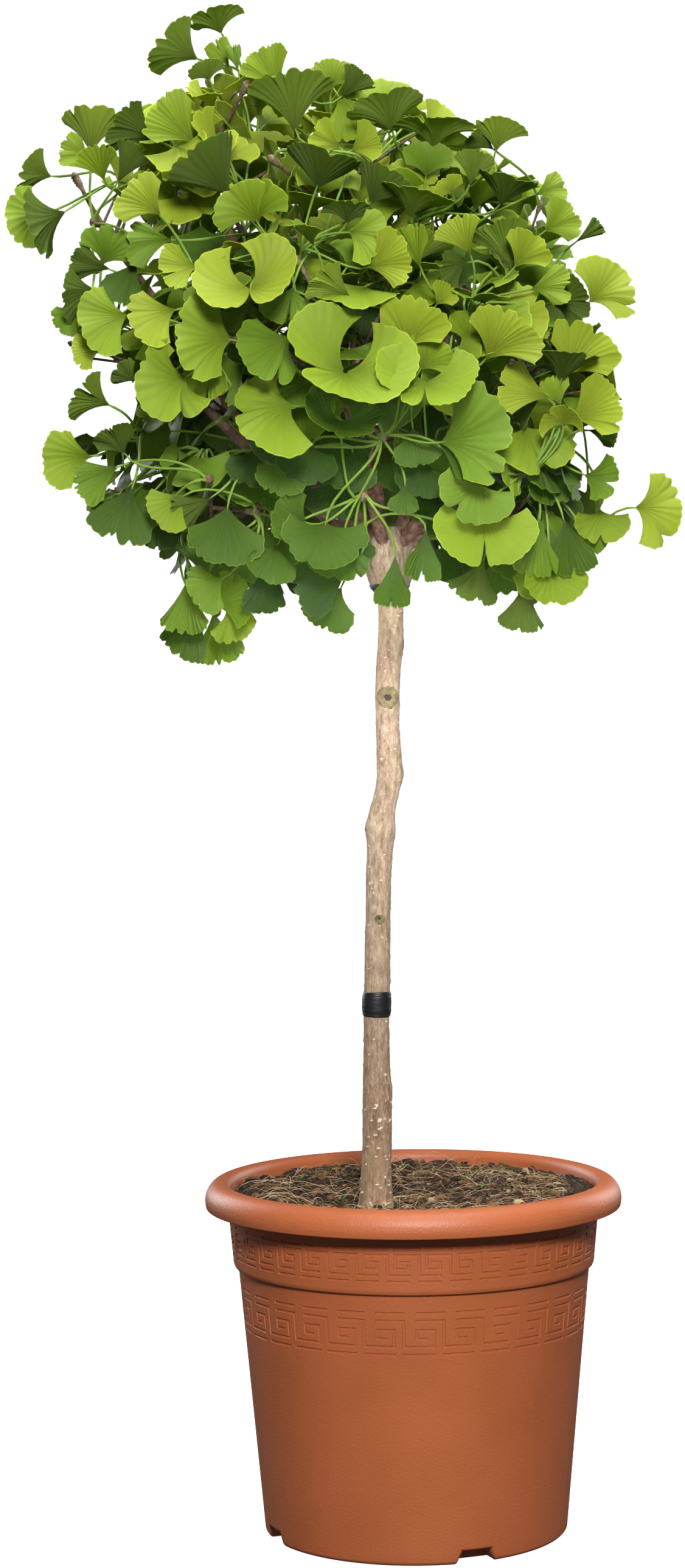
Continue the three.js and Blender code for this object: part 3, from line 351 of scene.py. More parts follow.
# its place in metres, its pitch and roll in radians, its lens in millimetres
CAMERA = {
    "place": (-0.0555377, -2.89099, 0.754584),
    "pitch": 0.0437594,
    "roll": 0.0110154,
    "lens": 79.45,
}
SENSOR = 36.0  # along the photograph's longer side
FOCAL = CAMERA["lens"] / SENSOR * PHOTO_SIZE[1]  # in the photograph's pixels


# ---------------------------------------------------------------- small helpers
def mix(a, b, t):
    return a + (b - a) * t


def smooth(t):
    held = np.clip(t, 0.0, 1.0)
    return held * held * (3.0 - 2.0 * held)


def length_of(vector):
    return math.sqrt(float(vector @ vector))


def unit(vector):
    return vector / length_of(vector)


def bend(start, middle, end, t):
    return start * (1 - t) ** 2 + middle * 2 * t * (1 - t) + end * t * t


def turns(count):
    """The angles of equal steps round a full turn."""
    return np.arange(count) * (2 * math.pi / count)


def seeded(*keys):
    """Random numbers from 0 to 1 that depend only on the keys, as in the part's source.

    The keys are hashed by the rule of FNV-1a, and the numbers drawn by that of mulberry32.
    """
    mask = 0xFFFFFFFF
    state = 2166136261
    for key in keys:
        state = ((state ^ key) * 16777619) & mask

    def draw():
        nonlocal state
        state = (state + 0x6D2B79F5) & mask
        value = state
        value = ((value ^ (value >> 15)) * (value | 1)) & mask
        value ^= (value + ((value ^ (value >> 7)) * (value | 61))) & mask
        return ((value ^ (value >> 14)) & mask) / 4294967296

    return draw


def camera_axes():
    """The camera's right, up and forward."""
    pitch, roll = CAMERA["pitch"], CAMERA["roll"]
    forward = np.array([0, math.cos(pitch), -math.sin(pitch)])
    level_up = np.array([0, math.sin(pitch), math.cos(pitch)])
    level_right = np.array([1.0, 0, 0])
    right = math.cos(roll) * level_right - math.sin(roll) * level_up
    up = math.sin(roll) * level_right + math.cos(roll) * level_up
    return right, up, forward


def seen_at(x, y, depth):
    """The place at a depth (its y, in mm) that a pixel of the photograph shows."""
    right, up, forward = camera_axes()
    way = forward * FOCAL + right * (x - PHOTO_SIZE[0] / 2) + up * (PHOTO_SIZE[1] / 2 - y)
    start = np.array(CAMERA["place"]) / MM
    return start + way * ((depth - start[1]) / way[1])


def seen_pixels(points):
    """The photograph's pixels at which places (mm) show."""
    right, up, forward = camera_axes()
    away = points - np.array(CAMERA["place"]) / MM
    scale = FOCAL / (away @ forward)
    return PHOTO_SIZE[0] / 2 + (away @ right) * scale, PHOTO_SIZE[1] / 2 - (away @ up) * scale


def in_outline(points):
    """Whether all these places show within the crown's outline and hide no wood that shows."""
    x, y = seen_pixels(points)
    inside = np.zeros(len(points), bool)
    for (x1, y1), (x2, y2) in zip(CROWN_OUTLINE, CROWN_OUTLINE[1:] + CROWN_OUTLINE[:1]):
        if y1 != y2:
            crossed = (np.minimum(y1, y2) <= y) & (y < np.maximum(y1, y2))
            inside ^= crossed & (x < x1 + (y - y1) * (x2 - x1) / (y2 - y1))
    for spot_x, spot_y, radius in SHOWN_WOOD["spots"]:
        before = points[:, 1] < SHOWN_WOOD["depth"]
        inside &= ~(before & (np.hypot(x - spot_x, y - spot_y) < radius))
    return bool(inside.all())


def front_depth(x, y):
    """How deep the crown's front lies behind a pixel of the photograph."""
    across = (x - CROWN_FACE["middle"][0]) / CROWN_FACE["across"]
    down = (y - CROWN_FACE["middle"][1]) / CROWN_FACE["down"]
    return CROWN_FACE["edge"] - CROWN_FACE["bulge"] * math.sqrt(max(0.0, 1 - across ** 2 - down ** 2))


NOISE_TABLE = 64


def lattice_noise(x, y, seed, wrap=NOISE_TABLE):
    """Smooth noise from -1 to 1 with one cell per unit, which repeats after `wrap` cells along x."""
    table = np.random.default_rng(seed).uniform(-1, 1, (NOISE_TABLE, NOISE_TABLE))
    left = np.floor(x).astype(int)
    low = np.floor(y).astype(int)
    across = smooth(x - left)
    rising = smooth(y - low)
    columns = (left % wrap, (left + 1) % wrap)
    rows = (low % NOISE_TABLE, (low + 1) % NOISE_TABLE)
    lower = mix(table[columns[0], rows[0]], table[columns[1], rows[0]], across)
    upper = mix(table[columns[0], rows[1]], table[columns[1], rows[1]], across)
    return mix(lower, upper, rising)


# ---------------------------------------------------------------- meshes from arrays
OTHER_WAY = [0, 2, 1]  # the corners of a triangle that is turned over


class Shape:
    """Triangles gathered for one piece: points, corners, a finish number each, and flat places."""

    def __init__(self):
        self.points = []
        self.triangles = []
        self.finishes = []
        self.places = []
        self.count = 0

    def add(self, points, triangles, finish=0, places=None):
        points = np.asarray(points, float).reshape(-1, 3)
        triangles = np.asarray(triangles, int)
        self.points.append(points)
        self.triangles.append(triangles + self.count)
        self.finishes.append(np.broadcast_to(finish, len(triangles)))
        self.places.append(np.zeros((len(points), 2)) if places is None else places)
        self.count += len(points)


def whole(points, triangles, finish=0):
    """One skin as a shape of its own."""
    shape = Shape()
    shape.add(points, triangles, finish)
    return shape


def make_piece(name, shape, materials, sharp_angle, flat_places=None):
    """One object of a shape's triangles, smooth but for edges that are sharper than an angle."""
    points = np.concatenate(shape.points) * MM
    triangles = np.concatenate(shape.triangles)
    mesh = bpy.data.meshes.new(name)
    mesh.vertices.add(len(points))
    mesh.vertices.foreach_set("co", points.ravel())
    mesh.loops.add(triangles.size)
    mesh.loops.foreach_set("vertex_index", triangles.ravel())
    mesh.polygons.add(len(triangles))
    mesh.polygons.foreach_set("loop_start", np.arange(len(triangles)) * 3)
    mesh.polygons.foreach_set("material_index", np.concatenate(shape.finishes).astype(int))
    if flat_places:
        layer = mesh.uv_layers.new(name=flat_places)
        layer.data.foreach_set("uv", np.concatenate(shape.places)[triangles].ravel())
    for material in materials:
        mesh.materials.append(material)
    mesh.update(calc_edges=True)
    mesh.polygons.foreach_set("use_smooth", np.ones(len(triangles), bool))
    mesh.set_sharp_from_angle(angle=math.radians(sharp_angle))
    piece = bpy.data.objects.new(name, mesh)
    bpy.context.scene.collection.objects.link(piece)
    return piece


def dress(piece, slot, *nodes):
    """The piece rides with the part and stands for the named solids; the slot is not used."""
    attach(piece, "root")
    if nodes:
        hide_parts(*nodes)


def grid_triangles(rows, columns, closed):
    """Triangles over a grid of points, row by row; a closed grid joins its last column to its first."""
    row, column = np.meshgrid(np.arange(rows - 1), np.arange(columns if closed else columns - 1),
                              indexing="ij")
    following = (column + 1) % columns
    a = (row * columns + column).ravel()
    b = (row * columns + following).ravel()
    c, d = a + columns, b + columns
    return np.concatenate([np.stack([a, b, d], 1), np.stack([a, d, c], 1)])


def cap_triangles(first, sides, upward):
    """A fan that closes a ring of points that starts at `first`."""
    k = np.arange(1, sides - 1)
    corners = np.stack([np.full_like(k, first), first + k, first + k + 1], 1)
    return corners if upward else corners[:, OTHER_WAY]


def rings_skin(rings):
    """A closed skin over an array of rings (rings x sides x 3)."""
    count, sides = rings.shape[:2]
    triangles = [
        grid_triangles(count, sides, True),
        cap_triangles(0, sides, False),
        cap_triangles((count - 1) * sides, sides, True),
    ]
    return rings.reshape(-1, 3), np.concatenate(triangles)


def hoop_skin(rings):
    """A closed skin over rings of which the last joins the first again."""
    count, sides = rings.shape[:2]
    closing = grid_triangles(2, sides, True)
    closing = np.where(closing < sides, closing + (count - 1) * sides, closing - sides)
    return rings.reshape(-1, 3), np.concatenate([grid_triangles(count, sides, True), closing])


def turned_skin(rings, poles):
    """A closed skin over rings, with a pole before the first and one after the last."""
    count, sides = rings.shape[:2]
    side = np.arange(sides)
    following = (side + 1) % sides
    first_pole = np.full(sides, count * sides)
    last = (count - 1) * sides
    triangles = [
        grid_triangles(count, sides, True),
        np.stack([first_pole, following, side], 1),
        np.stack([first_pole + 1, last + side, last + following], 1),
    ]
    return np.concatenate([rings.reshape(-1, 3), poles]), np.concatenate(triangles)


def round_axis(radius, angle, height):
    """Points round the pot's axis; the angle runs from the front to the right."""
    places = (radius * np.sin(angle), -radius * np.cos(angle), height)
    return np.stack(np.broadcast_arrays(*places), -1)


def tube_rings(centres, radii, sides):
    """Rings round a centre line without twist; `radii` is one per ring, or one per corner."""
    centres = np.asarray(centres, float)
    ahead = np.gradient(centres, axis=0)
    ahead /= np.linalg.norm(ahead, axis=1)[:, None]
    helper = UP if abs(ahead[0][2]) < 0.9 else np.array([1.0, 0.0, 0.0])
    side = unit(np.cross(ahead[0], helper))
    angles = turns(sides)
    radii = np.asarray(radii, float)
    if radii.ndim == 1:
        radii = radii[:, None]
    rings = np.empty((len(centres), sides, 3))
    for i, forward in enumerate(ahead):
        side = unit(side - forward * (side @ forward))
        other = np.cross(forward, side)
        spokes = np.cos(angles)[:, None] * side + np.sin(angles)[:, None] * other
        rings[i] = centres[i] + spokes * np.broadcast_to(radii[i], sides)[:, None]
    return rings


# ---------------------------------------------------------------- materials
class Finish:
    """A material as it is put together: one shader, and textures over the surface's own place."""

    def __init__(self, name, roughness, colour=None):
        self.material = bpy.data.materials.new(name)
        self.material.use_nodes = True
        self.nodes = self.material.node_tree.nodes
        self.links = self.material.node_tree.links
        self.shader = self.nodes["Principled BSDF"]
        self.shader.inputs["Roughness"].default_value = roughness
        if colour:
            self.shader.inputs["Base Color"].default_value = (*colour, 1)

    def node(self, kind, source=None, socket="Vector", **values):
        """A node with plain values on its sockets, linked to what it works on."""
        node = self.nodes.new(f"ShaderNode{kind}")
        for name, value in values.items():
            node.inputs[name].default_value = value
        if source is not None:
            self.links.new(source, node.inputs[socket])
        return node

    def places(self, scale=(1, 1, 1)):
        """The surface's own place, stretched by a scale on each axis."""
        coordinates = self.node("TexCoord")
        return self.node("Mapping", coordinates.outputs["Object"], Scale=scale).outputs["Vector"]

    def noise(self, places, scale, detail=4.0, roughness=0.55):
        texture = self.node("TexNoise", places, Scale=scale, Detail=detail, Roughness=roughness)
        return texture.outputs["Fac"]

    def ramp(self, value, *stops):
        """Colours over a value: each stop is a position and a colour."""
        node = self.node("ValToRGB", value, "Fac")
        elements = node.color_ramp.elements
        while len(elements) < len(stops):
            elements.new(0.5)
        for element, (position, colour) in zip(elements, stops):
            element.position = position
            element.color = (*colour, 1.0)
        return node.outputs["Color"]

    def blend(self, share, texture, colour, mode="MIX"):
        """A texture's colours blended with one plain colour, by a share that a texture gives."""
        node = self.nodes.new("ShaderNodeMix")
        node.data_type = "RGBA"
        node.blend_type = mode
        self.links.new(share, node.inputs["Factor"])
        self.links.new(texture, node.inputs["A"])
        node.inputs["B"].default_value = (*colour, 1.0)
        return node.outputs["Result"]

    def colour(self, texture):
        self.links.new(texture, self.shader.inputs["Base Color"])

    def bump(self, height, strength, distance_mm):
        bump = self.node("Bump", height, "Height", Strength=strength, Distance=distance_mm * MM)
        self.links.new(bump.outputs["Normal"], self.shader.inputs["Normal"])


def grainy(name, dark, light, roughness, grain):
    """A finish of fine dark and light grains, with a rough surface."""
    finish = Finish(name, roughness)
    places = finish.places()
    grains = finish.noise(places, grain["fineness"], 5, grain["contrast"])
    finish.colour(finish.ramp(grains, (grain["dark_at"], dark), (grain["light_at"], light)))
    finish.bump(finish.noise(places, grain["bump_fineness"], 4), grain["strength"], grain["depth"])
    return finish.material


PEAT_GRAIN = {"fineness": 160, "contrast": 0.7, "dark_at": 0.35, "light_at": 0.62,
              "bump_fineness": 420, "strength": 0.7, "depth": 1.2}
BARK_GRAIN = {"fineness": 190, "contrast": 0.65, "dark_at": 0.36, "light_at": 0.64,
              "bump_fineness": 620, "strength": 0.5, "depth": 0.4}
PEAT_ROUGHNESS = 0.92


def soil_material(name, dark, light):
    return grainy(name, dark, light, PEAT_ROUGHNESS, PEAT_GRAIN)


def plain_bark(name, dark, light, roughness):
    return grainy(name, dark, light, roughness, BARK_GRAIN)


def pot_material():
    """Terracotta-coloured plastic: satin, finely stippled, a little dusty."""
    finish = Finish("pot_plastic", 0.47)
    places = finish.places()
    blotches = finish.noise(places, 14, 3)
    finish.colour(finish.ramp(
        blotches,
        (0.3, (0.445, 0.116, 0.037)),
        (0.5, (0.472, 0.125, 0.041)),
        (0.7, (0.498, 0.133, 0.045)),
    ))
    stipple = finish.noise(places, 560, 2)
    finish.bump(stipple, 0.6, 0.5)
    return finish.material


BLACK = (0, 0, 0)  # none of a blend's plain colour
PATCH_SHARE = (0.6, 0.6, 0.6)  # the most that the patches on the bark take of theirs
OLIVE = (0.36, 0.30, 0.15)
RUSTY = (0.52, 0.34, 0.21)
SOILED = (0.66, 0.52, 0.38)


def bark_material():
    """Beige-grey bark with upright streaks, olive and rusty patches, soiled toward its foot."""
    finish = Finish("bark", 0.8)
    upright = finish.places((1, 1, 0.34))
    plain = finish.places()
    streaks = finish.noise(upright, 280, 8, 0.8)
    colour = finish.ramp(
        streaks,
        (0.34, (0.17, 0.105, 0.06)),
        (0.45, (0.37, 0.26, 0.165)),
        (0.55, (0.52, 0.39, 0.27)),
        (0.66, (0.71, 0.58, 0.45)),
    )
    olive = finish.ramp(finish.noise(upright, 34, 3), (0.54, BLACK), (0.70, PATCH_SHARE))
    colour = finish.blend(olive, colour, OLIVE)
    rusty = finish.ramp(finish.noise(plain, 21, 2), (0.55, BLACK), (0.72, PATCH_SHARE))
    colour = finish.blend(rusty, colour, RUSTY)
    height = finish.node("SeparateXYZ", plain).outputs["Z"]
    at_foot = finish.ramp(height, (0.34, PATCH_SHARE), (0.50, BLACK))
    colour = finish.blend(at_foot, colour, SOILED, "MULTIPLY")
    finish.colour(colour)
    finish.bump(finish.noise(upright, 420, 6, 0.75), 0.9, 0.9)
    return finish.material


def tape_material():
    """Black tying tape, slightly glossy, with fine creases along it."""
    finish = Finish("tape", 0.46, (0.012, 0.0125, 0.0135))
    creases = finish.noise(finish.places((1, 1, 3)), 150, 3)
    finish.bump(creases, 0.25, 0.6)
    return finish.material


LEAF_SHINE = 0.28
LIGHT_THROUGH = 0.28  # the share of a blade's light that comes through it
VEIN_SHARE = 0.2  # how deep the ribs between the veins are, beside the broader pleats
RIB_STRENGTH = 0.8


def add_ribs(finish, depth):
    """Fine ribs and broader pleats that fan out with the blade's flat places."""
    fan = finish.node("UVMap")
    fan.uv_map = "veins"
    ribs = finish.node("TexWave", fan.outputs["UV"], Scale=0.6, Distortion=0.6, Detail=1.0)
    ribs.wave_type = "BANDS"
    ribs.bands_direction = "X"
    broad = finish.node("Mapping", fan.outputs["UV"], Scale=(0.28, 0.6, 1))
    pleats = finish.noise(broad.outputs["Vector"], 1.0, 2)
    height = finish.node("Math")
    height.operation = "MULTIPLY_ADD"
    height.inputs[1].default_value = VEIN_SHARE
    finish.links.new(ribs.outputs["Fac"], height.inputs[0])
    finish.links.new(pleats, height.inputs[2])
    finish.bump(height.outputs["Value"], RIB_STRENGTH, depth)


def leaf_material(name, colour, glow, roughness, pleat_depth=0):
    """A leaf's side in one plain colour: satin, with light through it and fine fanned ribs."""
    finish = Finish(name, roughness, colour)
    finish.shader.inputs["Specular IOR Level"].default_value = LEAF_SHINE
    through = finish.node("BsdfTranslucent", Color=(*glow, 1))
    both = finish.node("MixShader", Fac=LIGHT_THROUGH)
    finish.links.new(finish.shader.outputs["BSDF"], both.inputs[1])
    finish.links.new(through.outputs["BSDF"], both.inputs[2])
    finish.links.new(both.outputs["Shader"], finish.nodes["Material Output"].inputs["Surface"])
    if pleat_depth:
        add_ribs(finish, pleat_depth)
    return finish.material


# ---------------------------------------------------------------- pot
def body_radius(height):
    return mix(BASE_RADIUS, BODY_RADIUS, height / STEP_HEIGHT)


MOST_ROUNDED = 0.49  # the most that a curve takes of a side of the profile


def rounded(corners, steps=5):
    """A profile whose corners (radius, height, rounding) are eased by short curves."""
    points = []
    for i, (radius, height, rounding) in enumerate(corners):
        here = np.array([radius, height])
        if rounding == 0 or i in (0, len(corners) - 1):
            points.append(here)
            continue
        before = np.array(corners[i - 1][:2]) - here
        after = np.array(corners[i + 1][:2]) - here
        start = here + before * min(rounding / np.hypot(*before), MOST_ROUNDED)
        end = here + after * min(rounding / np.hypot(*after), MOST_ROUNDED)
        points += [bend(start, here, end, k / steps) for k in range(steps + 1)]
    return np.array(points)


LIP_FOOT = POT_HEIGHT - LIP_HEIGHT
PLUG_FLOOR = 22.0  # the pot is closed up to here, over its drainage notches
BODY_ROWS = (11, 13.5, 16, 30, 80, 130)
COLUMNS = 192
COLLAR_TOP = LIP_FOOT - 2
COLLAR_EASE = 3.5  # the collar's slope starts this far over the step


def wall_radius(height):
    """The plain radius of the pot's outside on its body and its collar."""
    collar_share = (height - STEP_HEIGHT - COLLAR_EASE) / (COLLAR_TOP - STEP_HEIGHT - COLLAR_EASE)
    collar = mix(COLLAR_FOOT_RADIUS, COLLAR_RADIUS, collar_share)
    return np.where(np.asarray(height) > STEP_HEIGHT, collar, body_radius(height))


# Two engraved meander bands go round the pot. Each is a closed hoop let into the wall.
GROOVE = {"half": 0.85, "depth": 0.75, "slope": 0.35}
# The meander's path in one unit: place along the unit, level counted from the top.
MEANDER_PATH = [(0.67, 4), (0, 4), (0, 1), (-0.76, 1), (-0.76, 3), (-0.33, 3), (-0.33, 2), (-0.56, 2)]
MEANDER_DASHES = [((0, 5), (0.67, 5)), ((-0.76, 0), (0, 0))]
MEANDER_LINES = (0, 0.24, 0.44, 0.67)  # where upright strokes stand in a unit
LAST_LEVEL = 5
BANDS = [
    {"name": "upper", "units": 38, "first": 0.5, "turned": False,
     "levels": (263.3, 257.9, 252.3, 246.7, 241.3, 236.2)},
    {"name": "lower", "units": 28, "first": -4.5, "turned": True,
     "levels": (209.8, 203.5, 195.8, 188.8, 182.2, 175.7)},
]
BAND_MARGIN = 3.2  # plain hoop beyond the outer strokes
HOOP_DEPTH = 2.2
RECESS_DEPTH = 1.7
HOOP_LAP = 0.02


def band_range(band):
    return band["levels"][-1] - BAND_MARGIN, band["levels"][0] + BAND_MARGIN


def meander_strokes(band):
    """The strokes of one unit: a box (left, right, low, high) along the unit and up the wall."""
    levels = band["levels"]
    strokes = list(zip(MEANDER_PATH, MEANDER_PATH[1:])) + MEANDER_DASHES
    boxes = []
    for (x1, level1), (x2, level2) in strokes:
        if band["turned"]:
            x1, x2, level1, level2 = -x1, -x2, LAST_LEVEL - level1, LAST_LEVEL - level2
        heights = (levels[level1], levels[level2])
        boxes.append((min(x1, x2), max(x1, x2), min(heights), max(heights)))
    return boxes


def groove_depth(band, along, height, pitch):
    """How deep the meander is cut at places along the hoop (in units) and up the wall."""
    depth = np.zeros_like(along)
    for left, right, low, high in meander_strokes(band):
        for shift in (-1, 0, 1):
            middle = (left + right) / 2 + shift
            offset = np.abs(along - middle) - (right - left) / 2
            across = np.maximum(offset * pitch, np.maximum(low - height, height - high))
            beyond = np.clip((across - GROOVE["half"]) / GROOVE["slope"], 0, 1)
            depth = np.maximum(depth, GROOVE["depth"] * (1 - beyond))
    return depth


def meander_hoop(band):
    """A hoop with the band's grooves in its front, and a plain back in the wall's recess."""
    low, high = band_range(band)
    pitch = 2 * math.pi * float(wall_radius((low + high) / 2)) / band["units"]
    wide = GROOVE["half"] + GROOVE["slope"]
    edges = np.array([-wide, -GROOVE["half"], GROOVE["half"], wide])
    lines = [1 - line if band["turned"] else line for line in MEANDER_LINES]
    stations = np.sort(np.concatenate([(line + edges / pitch) % 1 for line in lines]))
    along = (np.arange(band["units"])[:, None] + stations).ravel()
    heights = np.concatenate([[low], *[level + edges for level in reversed(band["levels"])], [high]])
    height, place = np.meshgrid(heights, along, indexing="ij")
    radius = wall_radius(height) - groove_depth(band, place % 1, height, pitch)
    angle = np.radians(band["first"]) + place * (2 * math.pi / band["units"])
    front = round_axis(radius, angle, height)
    back_radius = wall_radius(height[[0, -1]]) - HOOP_DEPTH
    back = round_axis(back_radius, angle[[0, -1]], height[[0, -1]])
    return hoop_skin(np.concatenate([back[:1], front, back[1:]]))


def pot_profile():
    """The pot's section from under its middle, up the outside, over the lip and down inside."""
    corners = [
        (0, 0, 0),
        (BASE_RADIUS - CHAMFER, 0, 1.5),
        (body_radius(CHAMFER), CHAMFER, 1.5),
    ]
    corners += [(body_radius(height), height, 0) for height in BODY_ROWS]
    for band in reversed(BANDS):
        low, high = band_range(band)
        if band["name"] == "upper":
            corners += [
                (body_radius(STEP_HEIGHT - 1), STEP_HEIGHT - 1, 0.5),
                (COLLAR_FOOT_RADIUS - 1, STEP_HEIGHT, 0.5),
                (COLLAR_FOOT_RADIUS, STEP_HEIGHT + 2.6, 1.0),
            ]
        for height, inset in ((low + HOOP_LAP, 0), (low + HOOP_LAP, RECESS_DEPTH),
                              (high - HOOP_LAP, RECESS_DEPTH), (high - HOOP_LAP, 0)):
            corners.append((float(wall_radius(height)) - inset, height, 0))
    corners += [
        (COLLAR_RADIUS, COLLAR_TOP, 1.5),
        (COLLAR_RADIUS + 3, LIP_FOOT, 1.5),
        (RIM_RADIUS - 0.9, LIP_FOOT - 0.6, 1.2),
        (RIM_RADIUS, LIP_FOOT + 5, 2.0),
        (RIM_RADIUS - 0.5, LIP_FOOT + 10, 2.2),
        (RIM_RADIUS - 2.4, LIP_FOOT + 14.8, 2.4),
        (RIM_RADIUS - 5.8, LIP_FOOT + 18.8, 2.4),
        (RIM_RADIUS - 10.5, POT_HEIGHT - 0.2, 2.6),
        (MOUTH_RADIUS + 4.5, POT_HEIGHT, 3.5),
        (MOUTH_RADIUS, POT_HEIGHT - 4, 3.5),
        (COLLAR_RADIUS - WALL, LIP_FOOT - 6, 4.0),
        (body_radius(STEP_HEIGHT) - WALL, STEP_HEIGHT - 4, 4.0),
        (body_radius(PLUG_FLOOR) - WALL, PLUG_FLOOR, 3.0),
        (0, PLUG_FLOOR, 0),
    ]
    return rounded(corners)


def lathe(profile):
    """A closed turned shape over a profile that starts and ends on the axis."""
    inner = profile[1:-1]
    rings = round_axis(inner[:, :1], turns(COLUMNS), inner[:, 1:])
    return turned_skin(rings, [(0, 0, profile[0][1]), (0, 0, profile[-1][1])])


NOTCH_LAP = 2  # how far the cutting blocks reach under the pot
NOTCH_BEYOND = 10  # and out of it


def notch_cutters():
    """Blocks that cut the drainage notches in from the base's edge."""
    shape = Shape()
    faces = [(0, 2, 1), (0, 3, 2), (4, 5, 6), (4, 6, 7), (0, 1, 5), (0, 5, 4), (1, 2, 6), (1, 6, 5),
             (2, 3, 7), (2, 7, 6), (3, 0, 4), (3, 4, 7)]
    for k in range(NOTCH["count"]):
        bearing = math.radians(NOTCH["bearing"] + 360 / NOTCH["count"] * k)
        outward = np.array([math.cos(bearing), math.sin(bearing), 0])
        aside = np.array([-outward[1], outward[0], 0])
        foot, top = NOTCH["foot"] / 2, NOTCH["top"] / 2
        outline = [(-foot, -NOTCH_LAP), (foot, -NOTCH_LAP), (top, NOTCH["height"]), (-top, NOTCH["height"])]
        depths = (BASE_RADIUS - NOTCH["depth"], BASE_RADIUS + NOTCH_BEYOND)
        corners = [outward * depth + aside * across + UP * height
                   for depth in depths for across, height in outline]
        shape.add(corners, faces)
    return make_piece("notch_cutters", shape, [], 50)


def cut(piece, cutter):
    """Cuts one piece out of another, and takes it away."""
    modifier = piece.modifiers.new("notches", "BOOLEAN")
    modifier.object = cutter
    modifier.operation = "DIFFERENCE"
    modifier.solver = "EXACT"
    cutter.hide_render = True
    evaluated = piece.evaluated_get(bpy.context.evaluated_depsgraph_get())
    mesh = bpy.data.meshes.new_from_object(evaluated)
    piece.modifiers.clear()
    piece.data = mesh
    bpy.data.objects.remove(cutter)


def add_pot():
    finish = pot_material()
    pot = make_piece("pot_shell", whole(*lathe(pot_profile())), [finish], 40)
    cut(pot, notch_cutters())
    dress(pot, "pot", "pot")
    for band in BANDS:
        hoop = make_piece(f"pot_meander_{band['name']}", whole(*meander_hoop(band)), [finish], 30)
        dress(hoop, "pot", "pot")


# ---------------------------------------------------------------- soil
SOIL_EDGE = MOUTH_RADIUS - 3.2
SOIL_RINGS = 64
SOIL_COLUMNS = 200
SKIRT = {"foot": SOIL_SEAT - 24, "taper": 0.97}
# clods, lumps and grains of the peat: how high they stand, how wide they are, their noise's start
PEAT_RELIEF = [(2.4, 17, 30), (2.3, 6, 30), (1.0, 2.6, 0)]
PEAT_SETTLED = 0.6
ROUND_STEM = 17  # clear of loose pieces
CRUMBS = 2300
CRUMB = {"smallest": 0.9, "spread": 3.6, "rarity": 4, "flatness": 0.7, "raised": 0.3}
CRUMB_SHARES = (0.70, 0.27, 0.03)  # of dark, brown and pale ones
FIBRES = 1150
FIBRE = {"steps": 8, "shortest": 10, "longest": 58, "curl": 1.6, "lift": 10.0, "raised": 0.3,
         "thinnest": 0.11, "thickest": 0.23, "taper": 0.7}
FIBRE_SHARES = (0.34, 0.46, 0.2)  # of straw-coloured, rusty and brown ones
WEEDS = 70
WEED = {"lowest": 2.5, "highest": 8, "widest_at": 0.55, "sag": 0.25, "rib": 0.5}


def soil_height(x, y):
    away = np.hypot(x - TRUNK_FOOT[0], y - TRUNK_FOOT[1])
    rise = smooth((away - SOIL_FLAT) / SOIL_SLOPE)
    lumps = np.sin(x * 0.09 + 1) * np.cos(y * 0.11) + np.sin((x + y) * 0.05)
    return SOIL_SEAT + rise * (SOIL_RISE + SOIL_LUMP * lumps)


def soil_surface(x, y):
    """The rough top of the peat."""
    clods, lumps, grains = (
        rise * lattice_noise(x / width + start, y / width + start, seed)
        for seed, (rise, width, start) in enumerate(PEAT_RELIEF, 1)
    )
    return soil_height(x, y) + (clods + (lumps + grains)) - PEAT_SETTLED


def ground_at(x, y):
    return float(soil_surface(np.array([x]), np.array([y]))[0])


def soil_bed():
    radius = (np.linspace(0, 1, SOIL_RINGS)[1:] * SOIL_EDGE)[:, None]
    angles = turns(SOIL_COLUMNS)
    x, y = radius * np.cos(angles), radius * np.sin(angles)
    top = np.stack([x, y, soil_surface(x, y)], -1)
    skirt = top[-1:].copy()
    skirt[..., :2] *= SKIRT["taper"]
    skirt[..., 2] = SKIRT["foot"]
    poles = [(0, 0, ground_at(0.0, 0.0)), (0, 0, SKIRT["foot"])]
    points, triangles = turned_skin(np.concatenate([top, skirt]), poles)
    # the rings run outward and then down, so the faces are turned over
    return points, triangles[:, OTHER_WAY]


def on_soil(rng, count, edge=SOIL_EDGE - 3):
    """Random places on the peat, clear of the stem."""
    radius = edge * np.sqrt(rng.uniform(0, 1, count))
    angle = rng.uniform(0, 2 * math.pi, count)
    x, y = radius * np.cos(angle), radius * np.sin(angle)
    kept = np.hypot(x - TRUNK_FOOT[0], y - TRUNK_FOOT[1]) > ROUND_STEM
    return x[kept], y[kept]


def icosahedron():
    """The corners, at a distance of 1, and the outward faces of a twenty-sided solid."""
    golden = (1 + math.sqrt(5)) / 2
    flat = [(s, t * golden, 0) for s in (1, -1) for t in (1, -1)]
    corners = np.array(flat + [(z, x, y) for x, y, z in flat] + [(y, z, x) for x, y, z in flat], float)
    corners /= np.linalg.norm(corners[0])
    longest = 1.2  # between an edge and the distance of corners that don't share one
    faces = np.array([
        trio for trio in combinations(range(len(corners)), 3)
        if max(np.linalg.norm(corners[i] - corners[j]) for i, j in combinations(trio, 2)) < longest
    ])
    first, second, third = corners[faces].transpose(1, 0, 2)
    normal = np.cross(second - first, third - first)
    inward = (normal * corners[faces].mean(1)).sum(1) < 0
    faces[inward] = faces[inward][:, OTHER_WAY]
    return corners, faces


